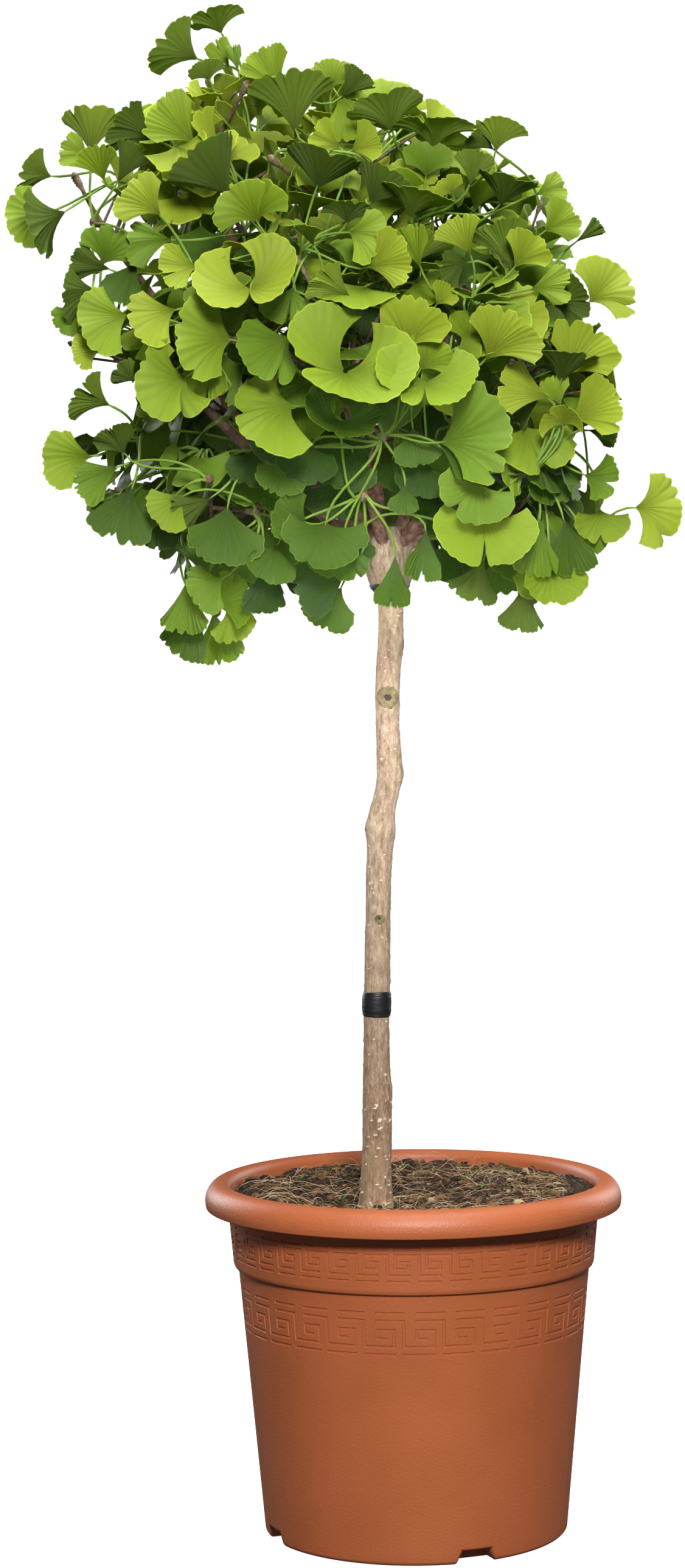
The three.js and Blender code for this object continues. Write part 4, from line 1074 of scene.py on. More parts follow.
def crumb_shape(rng, finishes):
    """Crumbs of peat and bark, of which few are large."""
    corners, faces = icosahedron()
    shape = Shape()
    x, y = on_soil(rng, CRUMBS)
    for px, py in zip(x, y):
        size = CRUMB["smallest"] + CRUMB["spread"] * rng.random() ** CRUMB["rarity"]
        stretch = size * rng.uniform(0.6, 1.5, 3) * (1, 1, CRUMB["flatness"])
        turn = rng.uniform(0, 2 * math.pi)
        points = corners * stretch * rng.uniform(0.75, 1.15, (len(corners), 1))
        cos, sin = math.cos(turn), math.sin(turn)
        points = points @ np.array([(cos, sin, 0), (-sin, cos, 0), (0, 0, 1)])
        place = (px, py, ground_at(px, py) + CRUMB["raised"] * size)
        shape.add(points + place, faces, rng.choice(finishes, p=CRUMB_SHARES))
    return shape


def fibre_shape(rng):
    """Curved shreds of coir and roots that lie on the peat."""
    x, y = on_soil(rng, FIBRES, SOIL_EDGE - 14)
    count = len(x)
    share = np.linspace(-0.5, 0.5, FIBRE["steps"])
    span = rng.uniform(FIBRE["shortest"], FIBRE["longest"], count)[:, None]
    bearing = rng.uniform(0, 2 * math.pi, count)[:, None]
    heading = bearing + rng.uniform(-FIBRE["curl"], FIBRE["curl"], count)[:, None] * share
    step = span / (FIBRE["steps"] - 1)
    line_x = x[:, None] + np.cumsum(np.cos(heading) * step, 1) - span / 2 * np.cos(heading[:, :1])
    line_y = y[:, None] + np.cumsum(np.sin(heading) * step, 1) - span / 2 * np.sin(heading[:, :1])
    too_far = np.maximum(np.hypot(line_x, line_y) / (SOIL_EDGE - 2), 1)
    line_x, line_y = line_x / too_far, line_y / too_far
    lift = (FIBRE["raised"] + FIBRE["lift"] * rng.random(count) ** 3)[:, None] * np.cos(share * math.pi)
    ground = soil_surface(line_x, line_y)
    ground = (ground + np.roll(ground, 1, 1) + np.roll(ground, -1, 1)) / 3
    centres = np.stack([line_x, line_y, ground + lift + PEAT_SETTLED], -1)
    aside = np.stack([-np.sin(heading), np.cos(heading), np.zeros_like(heading)], -1)
    radius = rng.uniform(FIBRE["thinnest"], FIBRE["thickest"], count)[:, None]
    radius = radius * (1 - FIBRE["taper"] * np.abs(2 * share) ** 3)
    around = turns(3)
    rings = centres[:, :, None] + radius[..., None, None] * (
        np.cos(around)[:, None] * aside[:, :, None] + np.sin(around)[:, None] * UP)
    shape = Shape()
    for fibre in rings:
        shape.add(*rings_skin(fibre[:, ::-1]), rng.choice(3, p=FIBRE_SHARES))
    return shape


def weed_shape(rng):
    """Small weeds and moss: little pointed leaves in tufts."""
    shape = Shape()
    faces = [(0, 1, 4), (1, 2, 4), (2, 3, 4), (3, 0, 4), (0, 3, 1), (1, 3, 2)]
    x, y = on_soil(rng, WEEDS, SOIL_EDGE - 8)
    for px, py in zip(x, y):
        foot = np.array([px, py, ground_at(px, py) + 0.3])
        finish = rng.integers(0, 2)
        tall = rng.uniform(WEED["lowest"], WEED["highest"])
        for _ in range(rng.integers(4, 9)):
            turn = rng.uniform(0, 2 * math.pi)
            out = np.array([math.cos(turn), math.sin(turn), rng.uniform(0.3, 1.2)])
            out = unit(out) * tall * rng.uniform(0.6, 1.2)
            aside = unit(np.cross(out, UP)) * tall * rng.uniform(0.14, 0.26)
            middle = foot + out * WEED["widest_at"] - UP * WEED["sag"]
            points = [foot, middle + aside, foot + out, middle - aside, middle + UP * WEED["rib"]]
            shape.add(points, faces, finish)
    return shape


def add_soil():
    rng = np.random.default_rng(SEED)
    dark = soil_material("peat", (0.004, 0.002, 0.001), (0.044, 0.022, 0.010))
    brown = soil_material("peat_brown", (0.04, 0.020, 0.008), (0.27, 0.145, 0.062))
    pale = soil_material("peat_pale", (0.26, 0.16, 0.08), (0.62, 0.45, 0.26))
    straw = soil_material("fibre_straw", (0.58, 0.39, 0.20), (0.95, 0.74, 0.46))
    rusty = soil_material("fibre_rusty", (0.22, 0.105, 0.04), (0.48, 0.265, 0.115))
    dress(make_piece("soil_bed", whole(*soil_bed()), [dark], 80), "soil", "soil")
    dress(make_piece("soil_crumbs", crumb_shape(rng, (0, 1, 2)), [dark, brown, pale], 20), "soil")
    dress(make_piece("soil_fibres", fibre_shape(rng), [straw, rusty, brown], 80), "soil")
    green = leaf_material("weed_green", (0.12, 0.22, 0.05), (0.2, 0.36, 0.05), 0.5)
    moss = leaf_material("weed_moss", (0.20, 0.27, 0.07), (0.2, 0.3, 0.05), 0.7)
    dress(make_piece("soil_weeds", weed_shape(rng), [green, moss], 30), "leaf")


# ---------------------------------------------------------------- trunk and ties
STEM_USUAL = 10
TRUNK_TOP = GRAFT["height"] + GRAFT["half"] - GRAFT["cut"]


def trunk_course(height):
    """The stem's sideways place and plain radius at heights."""
    stations = TRUNK_COURSE[:, 0]
    i = np.searchsorted(stations[1:-1], height, side="left")
    t = smooth((height - stations[i]) / (stations[i + 1] - stations[i]))
    place, radius = (mix(TRUNK_COURSE[i, k], TRUNK_COURSE[i + 1, k], t) for k in (1, 2))
    return place, radius


def stem_middle(height):
    """Where the leaning stem's middle is at heights, sideways and in depth."""
    share = (height - SOIL_SEAT) / (GRAFT["height"] - SOIL_SEAT)
    return trunk_course(height)[0], mix(TRUNK_FOOT[1], TRUNK_HEAD_Y, share)


def trunk_centre(height):
    x, y = stem_middle(height)
    return np.array([float(x), y, height])


def stem_rings(height, angle, radius):
    x, y = stem_middle(height)
    return np.stack([x + radius * np.cos(angle), y + radius * np.sin(angle), height], -1)


def beside(angle, bearing):
    """How far round the stem a bearing is from an angle, in mm at its usual radius."""
    turn = angle - math.radians(bearing)
    return STEM_USUAL * np.arctan2(np.sin(turn), np.cos(turn))


def trunk_radius(height, angle):
    height = np.asarray(height, float)
    radius = trunk_course(height)[1]
    foot = height - SOIL_SEAT
    radius = radius + FLARE["swell"] * np.exp(-foot / FLARE["height"]) * (1 + 0.25 * np.sin(3 * angle))
    radius = radius + KNEE["swell"] * np.exp(-(((height - KNEE["height"]) / KNEE["half"]) ** 2))
    for knot_height, bearing, swell, half in KNOTS:
        distance = np.hypot(height - knot_height, beside(angle, bearing)) / half
        radius = radius + swell * np.exp(-distance * distance)
    from_graft = np.minimum(np.abs(height - GRAFT["height"]) / GRAFT["half"], 1)
    lumps = 1 + 0.05 * np.sin(3 * angle + height * 0.07) + 0.04 * np.sin(5 * angle)
    swollen = GRAFT["radius"] * (1 - from_graft ** GRAFT["power"]) ** (1 / GRAFT["power"]) * lumps
    under = np.where(height > GRAFT["height"], 0, radius)
    return np.where(from_graft < 1, np.maximum(under, swollen), radius)


def trunk_heights():
    graft_foot = GRAFT["height"] - GRAFT["half"]
    heights = [SOIL_SEAT + height for height in FOOT_RINGS]
    z = heights[-1] + RING_STEP
    while z < graft_foot:
        heights.append(z)
        z += RING_STEP
    z = graft_foot
    while z < TRUNK_TOP:
        heights.append(z)
        z += GRAFT_RING_STEP
    heights += [TRUNK_TOP, KNEE["height"], *[knot[0] for knot in KNOTS]]
    heights.sort()
    return [z for i, z in enumerate(heights) if i == 0 or z - heights[i - 1] > CLOSEST_RINGS]


TRUNK_SIDES = 128
TRUNK_STEP = 1.0
TRUNK_ROOTED = 5.0  # how far the stem's foot goes on into the peat
LENTICELS = 330
LENTICEL = {"half_width": 1.45, "half_height": 1.15, "swell": 0.45, "highest": 775}
# height, bearing in degrees, size, how far the lip stands out, how deep the middle is
SCARS = [(701, -88, 7.8, 1.1, 1.6), (519, -84, 3.4, 0.6, 0.7)]
SCAR = {"lip": 0.28, "hollow": 0.62, "dark_to": 0.42, "ring_to": 1.2}  # in sizes
# the bark's relief: how deep (mm), how many cells round the stem, how tall they are (mm), its seed
CRACKS = {"depth": 0.24, "cells": 30, "tall": 13, "seed": 11}
FINE_CRACKS = {"depth": 0.16, "cells": 58, "tall": 6, "seed": 12}
LUMPS = {"depth": 0.45, "cells": 7, "tall": 26, "seed": 13}
GRAIN = {"depth": 0.14, "cells": 64, "tall": 2.4, "seed": 14}
GRAFT_LUMPS = {"depth": 0.8, "cells": 16, "tall": 7, "seed": 15}
GRAFT_CRACKS = 0.4
GRAFT_EASE = 14


def bark_noise(kind, height, angle):
    around = angle / (2 * math.pi)
    return lattice_noise(around * kind["cells"], height / kind["tall"], kind["seed"], kind["cells"])


def bark_relief(height, angle):
    """Upright cracks, lumps and grain, rougher on the graft."""
    cracks = 1 - 2 * np.abs(bark_noise(CRACKS, height, angle))
    fine_cracks = 1 - 2 * np.abs(bark_noise(FINE_CRACKS, height, angle))
    plain = CRACKS["depth"] * cracks + FINE_CRACKS["depth"] * fine_cracks
    for kind in (LUMPS, GRAIN):
        plain = plain + kind["depth"] * bark_noise(kind, height, angle)
    rough = GRAFT_LUMPS["depth"] * bark_noise(GRAFT_LUMPS, height, angle) + GRAFT_CRACKS * cracks
    return plain + smooth((height - GRAFT["height"] + GRAFT["half"]) / GRAFT_EASE) * rough


def old_scar(height, angle, centre_height, bearing, size, lip, hollow):
    """A healed pruning scar: a raised ring round a sunken middle."""
    distance = np.hypot(height - centre_height, beside(angle, bearing)) / size
    ring = lip * np.exp(-(((distance - 1) / SCAR["lip"]) ** 2))
    return ring - hollow * np.exp(-((distance / SCAR["hollow"]) ** 4)), distance


def marked_bark(height, angle):
    """The bark's radius, and its finishes: 0 plain, 1 lenticel, 2 a scar's hollow, 3 its ring."""
    radius = trunk_radius(height, angle) + bark_relief(height, angle)
    finish = np.zeros(height.shape, int)
    rng = np.random.default_rng(SEED + 1)
    for _ in range(LENTICELS):
        centre_height = mix(SOIL_SEAT, LENTICEL["highest"], rng.random() ** 1.4)
        bearing = rng.uniform(-180, 180)
        size = rng.uniform(0.7, 1.25)
        across = beside(angle, bearing) / (LENTICEL["half_width"] * size)
        distance = np.hypot(across, (height - centre_height) / (LENTICEL["half_height"] * size))
        radius = radius + LENTICEL["swell"] * size * np.exp(-distance ** 4)
        finish[distance < 0.95] = 1
    for scar in SCARS:
        relief, distance = old_scar(height, angle, *scar)
        radius = radius + relief
        finish[distance < SCAR["dark_to"]] = 2
        finish[(distance > SCAR["dark_to"]) & (distance < SCAR["ring_to"])] = 3
    return radius, finish


def add_trunk():
    heights = np.arange(SOIL_SEAT + GAP, TRUNK_TOP, TRUNK_STEP)
    height, angle = np.meshgrid(heights, turns(TRUNK_SIDES), indexing="ij")
    radius, finish = marked_bark(height, angle)
    rings = stem_rings(height, angle, radius)
    foot = rings[:1].copy()
    foot[..., 2] -= TRUNK_ROOTED
    points, triangles = rings_skin(np.concatenate([foot, rings]))
    corners = np.concatenate([finish[:1], finish]).ravel()[triangles]
    # a triangle is marked where all its corners are
    shape = whole(points, triangles, corners.max(1) * (corners.min(1) > 0))
    materials = [
        bark_material(),
        plain_bark("lenticel", (0.70, 0.57, 0.36), (0.92, 0.82, 0.60), 0.7),
        plain_bark("scar_hollow", (0.012, 0.009, 0.006), (0.06, 0.045, 0.025), 0.9),
        plain_bark("scar_ring", (0.13, 0.10, 0.045), (0.30, 0.235, 0.12), 0.8),
    ]
    dress(make_piece("trunk_bark", shape, materials, 70), "bark", "trunk")


# Tape: its laps' edges as shares of the band, how far each stands out (mm) and how soft it is
TAPE_ROWS = 40
LAP = {"first": (0.12, 0.2), "last": (0.8, 0.9), "rise": 0.3, "ease": 0.025, "weight": 0.9}
CREASE = {"depth": 0.12, "around": 10, "across": 9, "seed": 21}
TAPE_EDGE = {"thin": 0.3, "thick": TIE_THICKNESS - 0.35, "ease": 0.04}
TAPE_INSIDE = 0.6  # how far the band's back is sunk in the bark


def tape_band(low, high):
    """Tape wound round the stem: laps that end a little apart, and fine creases."""
    rows = np.linspace(0, 1, TAPE_ROWS)
    share, angle = np.meshgrid(rows, turns(TRUNK_SIDES), indexing="ij")
    sag = 0.5 * np.sin(angle - 0.6) + 0.25 * np.sin(2 * angle + 1.0)
    height = mix(low, high, share) + sag * np.where(share < 0.5, 0.8, -0.6)
    slant = 0.22 * np.sin(angle + 0.4)
    laps = sum(LAP["rise"] * smooth((share - edge + slant * 0.12) / LAP["ease"]) for edge in LAP["first"])
    laps = laps - sum(
        LAP["rise"] * smooth((share - edge - slant * 0.1) / LAP["ease"]) for edge in LAP["last"])
    around = angle / (2 * math.pi) * CREASE["around"]
    creases = lattice_noise(around, share * CREASE["across"], CREASE["seed"], CREASE["around"])
    creases = CREASE["depth"] * creases
    edge_ease = np.minimum(1, np.minimum(share, 1 - share) / TAPE_EDGE["ease"]) ** 0.5
    thickness = GAP + mix(TAPE_EDGE["thin"], TAPE_EDGE["thick"], edge_ease) + laps * LAP["weight"] + creases
    radius = trunk_radius(height, angle) + thickness
    inner = trunk_radius(height[[0, -1]], angle[[0, -1]]) - TAPE_INSIDE
    radius = np.concatenate([inner[:1], radius, inner[1:]])
    height = np.concatenate([height[:1], height, height[-1:]])
    angle = np.concatenate([angle[:1], angle, angle[:1]])
    return hoop_skin(stem_rings(height, angle, radius))


def add_ties():
    finish = tape_material()
    for name, low, high in TIES:
        band = make_piece(f"{name}_tape", whole(*tape_band(low, high)), [finish], 45)
        dress(band, "tape", name)


# ---------------------------------------------------------------- boughs
def fork_from(start, heart):
    middle = start + (heart - start) * FORK_BOW["share"]
    middle[2] += FORK_BOW["lift"]
    return start, middle


def rise_to(heart):
    start = trunk_centre(GRAFT["height"])
    outward = (heart - start) * (1, 1, 0)
    level = length_of(outward)
    outward = outward / level
    steep = smooth((LEAVING["wide_beyond"] - level) / (LEAVING["wide_beyond"] - LEAVING["steep_within"]))
    start = start + outward * mix(WIDE_START["out"], STEEP_START["out"], steep)
    start[2] += mix(WIDE_START["rise"], STEEP_START["rise"], steep)
    middle = start + outward * (level * RISING_BOW["out"])
    middle[2] += (heart[2] - start[2]) * RISING_BOW["rise"]
    return start, middle


def lay_boughs():
    """Each bough's course from the graft, or from the bough that it leaves, to its mass."""
    boughs = {}
    for mass in MASSES:
        heart = np.array(mass["heart"], float)
        if "from" in mass:
            start, middle = fork_from(boughs[mass["from"]]["at"](mass["leave"]), heart)
        else:
            start, middle = rise_to(heart)
        inside = min(STEM_INSIDE["usual"], STEM_INSIDE["share"] * length_of(heart - start))
        end = heart - unit(heart - middle) * inside
        boughs[mass["name"]] = {
            "at": lambda t, start=start, middle=middle, end=end: bend(start, middle, end, t),
            "points": [bend(start, middle, end, i / BOUGH_STEPS) for i in range(BOUGH_STEPS + 1)],
            "radii": FORK_RADIUS if "from" in mass else BOUGH_RADIUS,
            "end": end,
            "forward": unit(end - middle),
        }
    return boughs


def limb_lengths(boughs):
    """Straight lengths (start, end, radius) that the foliage keeps clear of."""
    lengths = []
    heights = [z for z in trunk_heights() if z > LOWEST_LEAF]
    for low, high in zip(heights, heights[1:]):
        radius = max(float(trunk_radius(low, 0)), float(trunk_radius(high, 0)))
        lengths.append((trunk_centre(low), trunk_centre(high), radius))
    for bough in boughs.values():
        points = bough["points"]
        for i, (start, end) in enumerate(zip(points, points[1:])):
            lengths.append((start, end, mix(*bough["radii"], i / BOUGH_STEPS)))
    return lengths


WOOD_STEP = 2.2  # between the rings of boughs and twigs
WOOD_RELIEF = 0.07  # of the radius
BUD_SPACING = 11
BUD_SWELL = 0.10  # of the radius
BOUGH_SKIN = {"stations": 24, "sides": 16, "behind": 7, "ahead": 3}
SPUR_SIDES = 9
# the rings of a spur: shares of its length, and how thick it is there
SPUR_SHARES = np.array([-0.6, -0.35, -0.12, 0.08, 0.2, 0.34, 0.46, 0.6, 0.72, 0.86, 0.96, 1.06, 1.2, 1.3])
SPUR_SWELL = np.array([0.45, 0.5, 0.62, 0.84, 0.7, 0.9, 0.74, 0.95, 0.78, 0.95, 0.8, 0.62, 0.42, 0.12])


def wood_rings(line, radii, sides, seed):
    """A limb with a slightly uneven skin and low rings where old buds sat."""
    stations = np.concatenate([[0], np.cumsum(np.linalg.norm(np.diff(line, axis=0), axis=1))])
    count = max(3, int(stations[-1] / WOOD_STEP))
    places = np.linspace(0, stations[-1], count)
    centres = np.stack([np.interp(places, stations, line[:, k]) for k in range(3)], 1)
    around = np.arange(sides) / sides
    along, turn = np.meshgrid(places, around, indexing="ij")
    uneven = lattice_noise(turn * 6, along / 7 + seed * 3.7, 31, 6)
    fine = lattice_noise(turn * 12, along / 2.5 + seed * 1.9, 32, 12)
    bud_rings = np.maximum(0, np.cos(along / BUD_SPACING * 2 * math.pi + seed)) ** 14
    swell = 1 + WOOD_RELIEF * uneven + 0.5 * WOOD_RELIEF * fine + BUD_SWELL * bud_rings
    radius = mix(radii[0], radii[1], places / stations[-1])[:, None] * swell
    return tube_rings(centres, radius, sides)


def spur_rings(tip, axis, size, seed):
    """A short shoot: crowded rings of old leaf scars that end in a blunt bud."""
    centres = tip + axis * ((SPUR_SHARES - 1) * size["length"])[:, None]
    along, turn = np.meshgrid(SPUR_SHARES * 5 + seed, np.arange(SPUR_SIDES) / SPUR_SIDES * 9, indexing="ij")
    uneven = 1 + 0.12 * lattice_noise(along, turn, 33)
    return tube_rings(centres, SPUR_SWELL[:, None] * size["radius"] * SLENDER * uneven, SPUR_SIDES)


def add_boughs(boughs):
    materials = [plain_bark("bough_bark", (0.085, 0.042, 0.026), (0.30, 0.165, 0.105), 0.7)]
    for order, (name, bough) in enumerate(boughs.items()):
        line = np.array([bough["at"](t) for t in np.linspace(0, 1, BOUGH_SKIN["stations"])])
        behind = line[0] - unit(line[1] - line[0]) * BOUGH_SKIN["behind"]
        ahead = bough["end"] + bough["forward"] * BOUGH_SKIN["ahead"]
        line = np.concatenate([[behind], line, [ahead]])
        rings = wood_rings(line, bough["radii"], BOUGH_SKIN["sides"], order)
        piece = make_piece(f"bough_{name}_bark", whole(*rings_skin(rings)), materials, 70)
        dress(piece, "bough", f"bough_{name}")


# ---------------------------------------------------------------- foliage: room to grow in
def segment_distance(start, end, other_start, other_end):
    """The least distance between two straight lengths."""
    way = end - start
    other_way = other_end - other_start
    apart = start - other_start
    own = way @ way
    other = other_way @ other_way
    both = way @ other_way
    own_apart = way @ apart
    other_apart = other_way @ apart
    spread = own * other - both * both
    share = min(max((both * other_apart - own_apart * other) / spread, 0), 1) if spread > 1e-9 else 0
    other_share = min(max((both * share + other_apart) / other, 0), 1)
    share = min(max((both * other_share - own_apart) / own, 0), 1)
    return length_of(start + way * share - other_start - other_way * other_share)


def room_from(points, lengths):
    """The least distance from points to the skin of straight lengths of wood."""
    starts, ends, radii = lengths
    way = ends - starts
    from_start = points[:, None] - starts
    share = np.clip((from_start * way).sum(2) / (way * way).sum(1), 0, 1)
    away = np.linalg.norm(from_start - share[..., None] * way, axis=2) - radii
    return float(away.min())


def as_arrays(lengths):
    starts, ends, radii = zip(*lengths)
    return np.array(starts), np.array(ends), np.array(radii, float)


def nearest_mass(point):
    """The number of the mass whose heart is nearest."""
    return int(np.linalg.norm(HEARTS - point, axis=1).argmin())


class Space:
    """The room of one mass: its walls lie half way to the other masses' hearts."""

    def __init__(self, mass, limbs):
        self.heart = np.array(mass["heart"], float)
        self.reach = mass["reach"]
        self.limbs = limbs
        away = np.array([other["heart"] for other in MASSES if other is not mass], float) - self.heart
        distance = np.linalg.norm(away, axis=1)
        self.out = away / distance[:, None]
        self.distance = distance / 2

    def inside(self, points, margin):
        return bool(np.all((points - self.heart) @ self.out.T < self.distance - margin))

    def clear(self, p, q, room):
        return all(segment_distance(p, q, start, end) > radius + room for start, end, radius in self.limbs)


# ---------------------------------------------------------------- foliage: wood
def random_in(centre, radius, random):
    height = 2 * random() - 1
    turn = 2 * math.pi * random()
    level = math.sqrt(1 - height * height)
    direction = np.array([level * math.cos(turn), level * math.sin(turn), height])
    return centre + direction * (radius * random() ** (1 / 3))


def emptiest_place(space, radius, margin, taken, random):
    """Of some random places in a mass, the one furthest from those that are taken."""
    best, best_room = None, 0
    for _ in range(CANDIDATES):
        point = random_in(space.heart, radius, random)
        if not space.inside(point, margin):
            continue
        room = min(length_of(point - other) for other in taken)
        if room > best_room:
            best, best_room = point, room
    return best


def where_to_fork(wood, end):
    """The place on the wood from which a twig to `end` is short and sets off along its parent."""
    best, best_cost = None, math.inf
    for points, _ in wood:
        for start, finish in zip(points, points[1:]):
            onward = unit(finish - start)
            for share in FORK_SHARES:
                origin = mix(start, finish, share)
                to_end = end - origin
                length = length_of(to_end)
                cost = length * (2 - (to_end @ onward) / length)
                room = length_of(origin - wood[0][0][0]) > BARE_FOOT and length > TWIG_SHORTEST
                if room and cost < best_cost:
                    best, best_cost = origin, cost
    return best


def grow_twig(space, wood, spurs, random, reach, radii, size, named):
    """Tries for one more twig that ends in a spur, where the mass is emptiest."""
    for _ in range(TWIG_ATTEMPTS):
        tips = [spur["tip"] for spur in spurs]
        point = emptiest_place(space, space.reach * reach, TWIG_MARGIN, tips, random)
        origin = None if point is None else where_to_fork(wood, point)
        if origin is None:
            continue
        direction = unit(point - origin)
        spur = spur_at(point, direction, size)
        left = origin + direction * (STEM_RADIUS[0] + FORK_ROOM)
        room = SPUR["radius"] + 1
        way = left + (spur["tip"] - left) * np.linspace(0, 1, 6)[:, None]
        if hides_named(way, named) or not in_outline(way):
            continue
        if space.clear(left, spur["tip"], room) and space.inside(spur["tip"], room):
            wood.append(([origin, point], radii))
            spurs.append(spur)
            return


def named_twig(wood, spurs, point):
    """A twig that ends in a spur where the photograph shows one."""
    origin = where_to_fork(wood, point)
    if origin is None:
        return
    wood.append(([origin, point], TWIG_RADIUS))
    spurs.append(spur_at(point, unit(point - origin), SPUR))
    spurs[-1]["named"] = True


def grow_wood(order, bough, space, named):
    """The stem, twigs and spurs of one mass."""
    start = bough["end"] + bough["forward"] * GAP
    finish = space.heart + bough["forward"] * STEM_END["past"]
    finish[2] += STEM_END["lift"]
    middle = start + bough["forward"] * STEM_ENTRY
    stem = [bend(start, middle, finish, t) for t in STEM_SHARES]
    wood = [(stem, STEM_RADIUS)]
    spurs = [spur_at(finish, unit(finish - stem[2]), SPUR)]
    for x, y, sunk in NAMED_SPURS:
        point = seen_at(x, y, front_depth(x, y) + sunk)
        if nearest_mass(point) == order:
            named_twig(wood, spurs, point)
    for k in range(SPURS):
        grow_twig(space, wood, spurs, seeded(SEED, order, 1, k), TWIG_REACH, TWIG_RADIUS, SPUR, named)
    for k in range(FINE_TWIGS):
        grow_twig(space, wood, spurs, seeded(SEED, order, 5, k), FINE_REACH, FINE_RADIUS, FINE_SPUR, named)
    return wood, spurs


def spur_at(foot, axis, size):
    return {"axis": axis, "tip": foot + axis * size["length"], "size": size, "leaves": 0, "named": False}


# ---------------------------------------------------------------- foliage: leaves
HALF_THICKNESS = 0.2
BASE_SWELL = 1.8
VEIN_PITCH = 1.6
NARROW_BASE = 0.3  # how narrow the fan is at its base, as a share of its span
DEEP_NOTCH = 0.03  # the width of a notch that parts a blade in two
NAMED_STRETCH = 1.04
LEAST_SCALLOP = 0.026  # on the named leaves
# A bowl is nearly a full round, and its lobes open further outward.
BOWL_HABIT = {"droop": 0.0, "flare": 0.0, "fold": 0.0, "wave": 0.025, "waves": 5.0, "corner": 0.22,
              "narrow": 0.68, "opening": 1.0, "pleat": 0.008, "pleats": 26.0}
SCALLOP_SPAN = 70.0  # the half span in degrees that has the usual number of scallops
WIDEST_TURN = 174.0  # degrees of a cone's half turn, so that a blade's sides don't meet
PARTED = 0.4  # notches deeper than this part a blade in two
SHARP_CORNER = 0.3  # how round the corners of the sharp forms are, beside the others'
KEPT_CLEAR = 0.85  # the share of a named leaf's half width that others don't hide
TEST_ACROSS, TEST_OUTWARD = np.meshgrid((-0.9, -0.45, 0, 0.45, 0.9), (0.35, 0.7, 0.98), indexing="ij")


class Leaf:
    """A fan leaf: where its blade starts, how it turns, and its own form."""

    def __init__(self, base, axis, face, size, habit):
        self.base = base
        self.axis = axis
        self.face = face
        self.size = size
        self.habit = habit
        self.tint = 0
        self.named = False
        self.spur = None
        samples, _ = blade_surface(self, TEST_ACROSS.ravel(), TEST_OUTWARD.ravel())
        self.samples = samples
        self.middle = samples.mean(0)
        self.half_width = KEPT_CLEAR * float(np.linalg.norm(samples - self.middle, axis=1).max())


# the limits of a blade's form: its cone and span in degrees, for blades that open out and upright ones
CONE_LIMITS = ((58, 84), (38, 60))
SPAN_LIMITS = ((64, 108), (52, 84))
LOBE_LIMITS = ((-0.8, 0.8), (0.03, 0.12), (0.03, 0.06))  # place, depth and width
NOTCH_LIMITS = {"shallow": (0.06, 0.34), "deep": (0.4, 0.7)}
SHALLOW_SHARE = 0.8
SEEDED_TURN = 160  # as WIDEST_TURN, for the seeded leaves
FORM_LIMITS = {
    "notch_at": (-0.08, 0.08),
    "notch_width": (0.04, 0.09),
    "corner": (0.14, 0.34),
    "scallop": (0.012, 0.035),
    "scallops": (14, 24),
    "phase": (0, 2 * math.pi),
    "flare": (-0.06, 0.20),
    "wave": (0.012, 0.06),
    "waves": (1.4, 3.4),
    "fold": (-0.05, 0.12),
    "droop": (0.0, 0.14),
    "pleat": (0.005, 0.013),
    "pleats": (9, 16),
}
UPRIGHT_HABIT = {"corner": -0.65, "wave": 0.6}  # what upright blades have less or more of


def leaf_habit(random, upright):
    """The form of one blade; upright ones are closer to funnels, others open out flat."""
    cone = mix(mix(*CONE_LIMITS[0], random()), mix(*CONE_LIMITS[1], random()), upright)
    span = mix(mix(*SPAN_LIMITS[0], random() ** 1.3), mix(*SPAN_LIMITS[1], random()), upright)
    habit = {
        "cone": math.radians(cone),
        "span": math.radians(min(span, SEEDED_TURN * math.sin(math.radians(cone)))),
        "narrow": NARROW_BASE,
        "opening": 0.55,
        "lobes": [[mix(*limits, random()) for limits in LOBE_LIMITS] for _ in range(3)],
    }
    kind = "shallow" if random() < SHALLOW_SHARE else "deep"
    habit["notch"] = mix(*NOTCH_LIMITS[kind], random())
    for name, limits in FORM_LIMITS.items():
        habit[name] = mix(*limits, random())
    for name, share in UPRIGHT_HABIT.items():
        habit[name] *= 1 + share * upright
    return habit


def edge_reach(habit, across):
    """How far the blade's edge is from its base, in blade sizes."""
    reach = 1 - habit["corner"] * smooth((np.abs(across) - 0.66) / 0.34) ** 1.5
    reach -= habit["notch"] * np.exp(-(np.abs(across - habit["notch_at"]) / habit["notch_width"]) ** 1.4)
    for place, depth, width in habit["lobes"]:
        reach -= depth * np.exp(-((across - place) / width) ** 2)
    reach += habit["scallop"] * np.abs(np.sin(across * habit["scallops"] + habit["phase"]))
    return reach


def blade_surface(leaf, across, outward):
    """Points and upper normals of a blade, at shares across it and outward from its base."""
    habit = leaf.habit
    cone = habit["cone"]
    aside = np.cross(leaf.axis, leaf.face)
    cone_axis = leaf.axis * math.cos(cone) + leaf.face * math.sin(cone)
    lean = leaf.axis * math.sin(cone) - leaf.face * math.cos(cone)
    span = habit["span"] * (habit["narrow"] + (1 - habit["narrow"]) * outward ** habit["opening"])
    turn = (across * span / math.sin(cone))[:, None]
    radial = np.cos(turn) * lean + np.sin(turn) * aside
    way = math.cos(cone) * cone_axis + math.sin(cone) * radial
    normal = math.sin(cone) * cone_axis - math.cos(cone) * radial
    distance = leaf.size * outward * edge_reach(habit, across)
    swing = habit["wave"] * np.sin(habit["waves"] * math.pi * across + habit["phase"])
    rise = (swing - habit["flare"] * outward) * outward ** 2
    rise += habit["fold"] * np.abs(across) ** 1.5 * outward
    rise += habit["pleat"] * np.sin(habit["pleats"] * math.pi * across + habit["phase"]) * outward ** 0.5
    points = leaf.base + way * distance[:, None] + normal * (leaf.size * rise)[:, None]
    points[:, 2] -= habit["droop"] * leaf.size * outward ** 2
    return points, normal


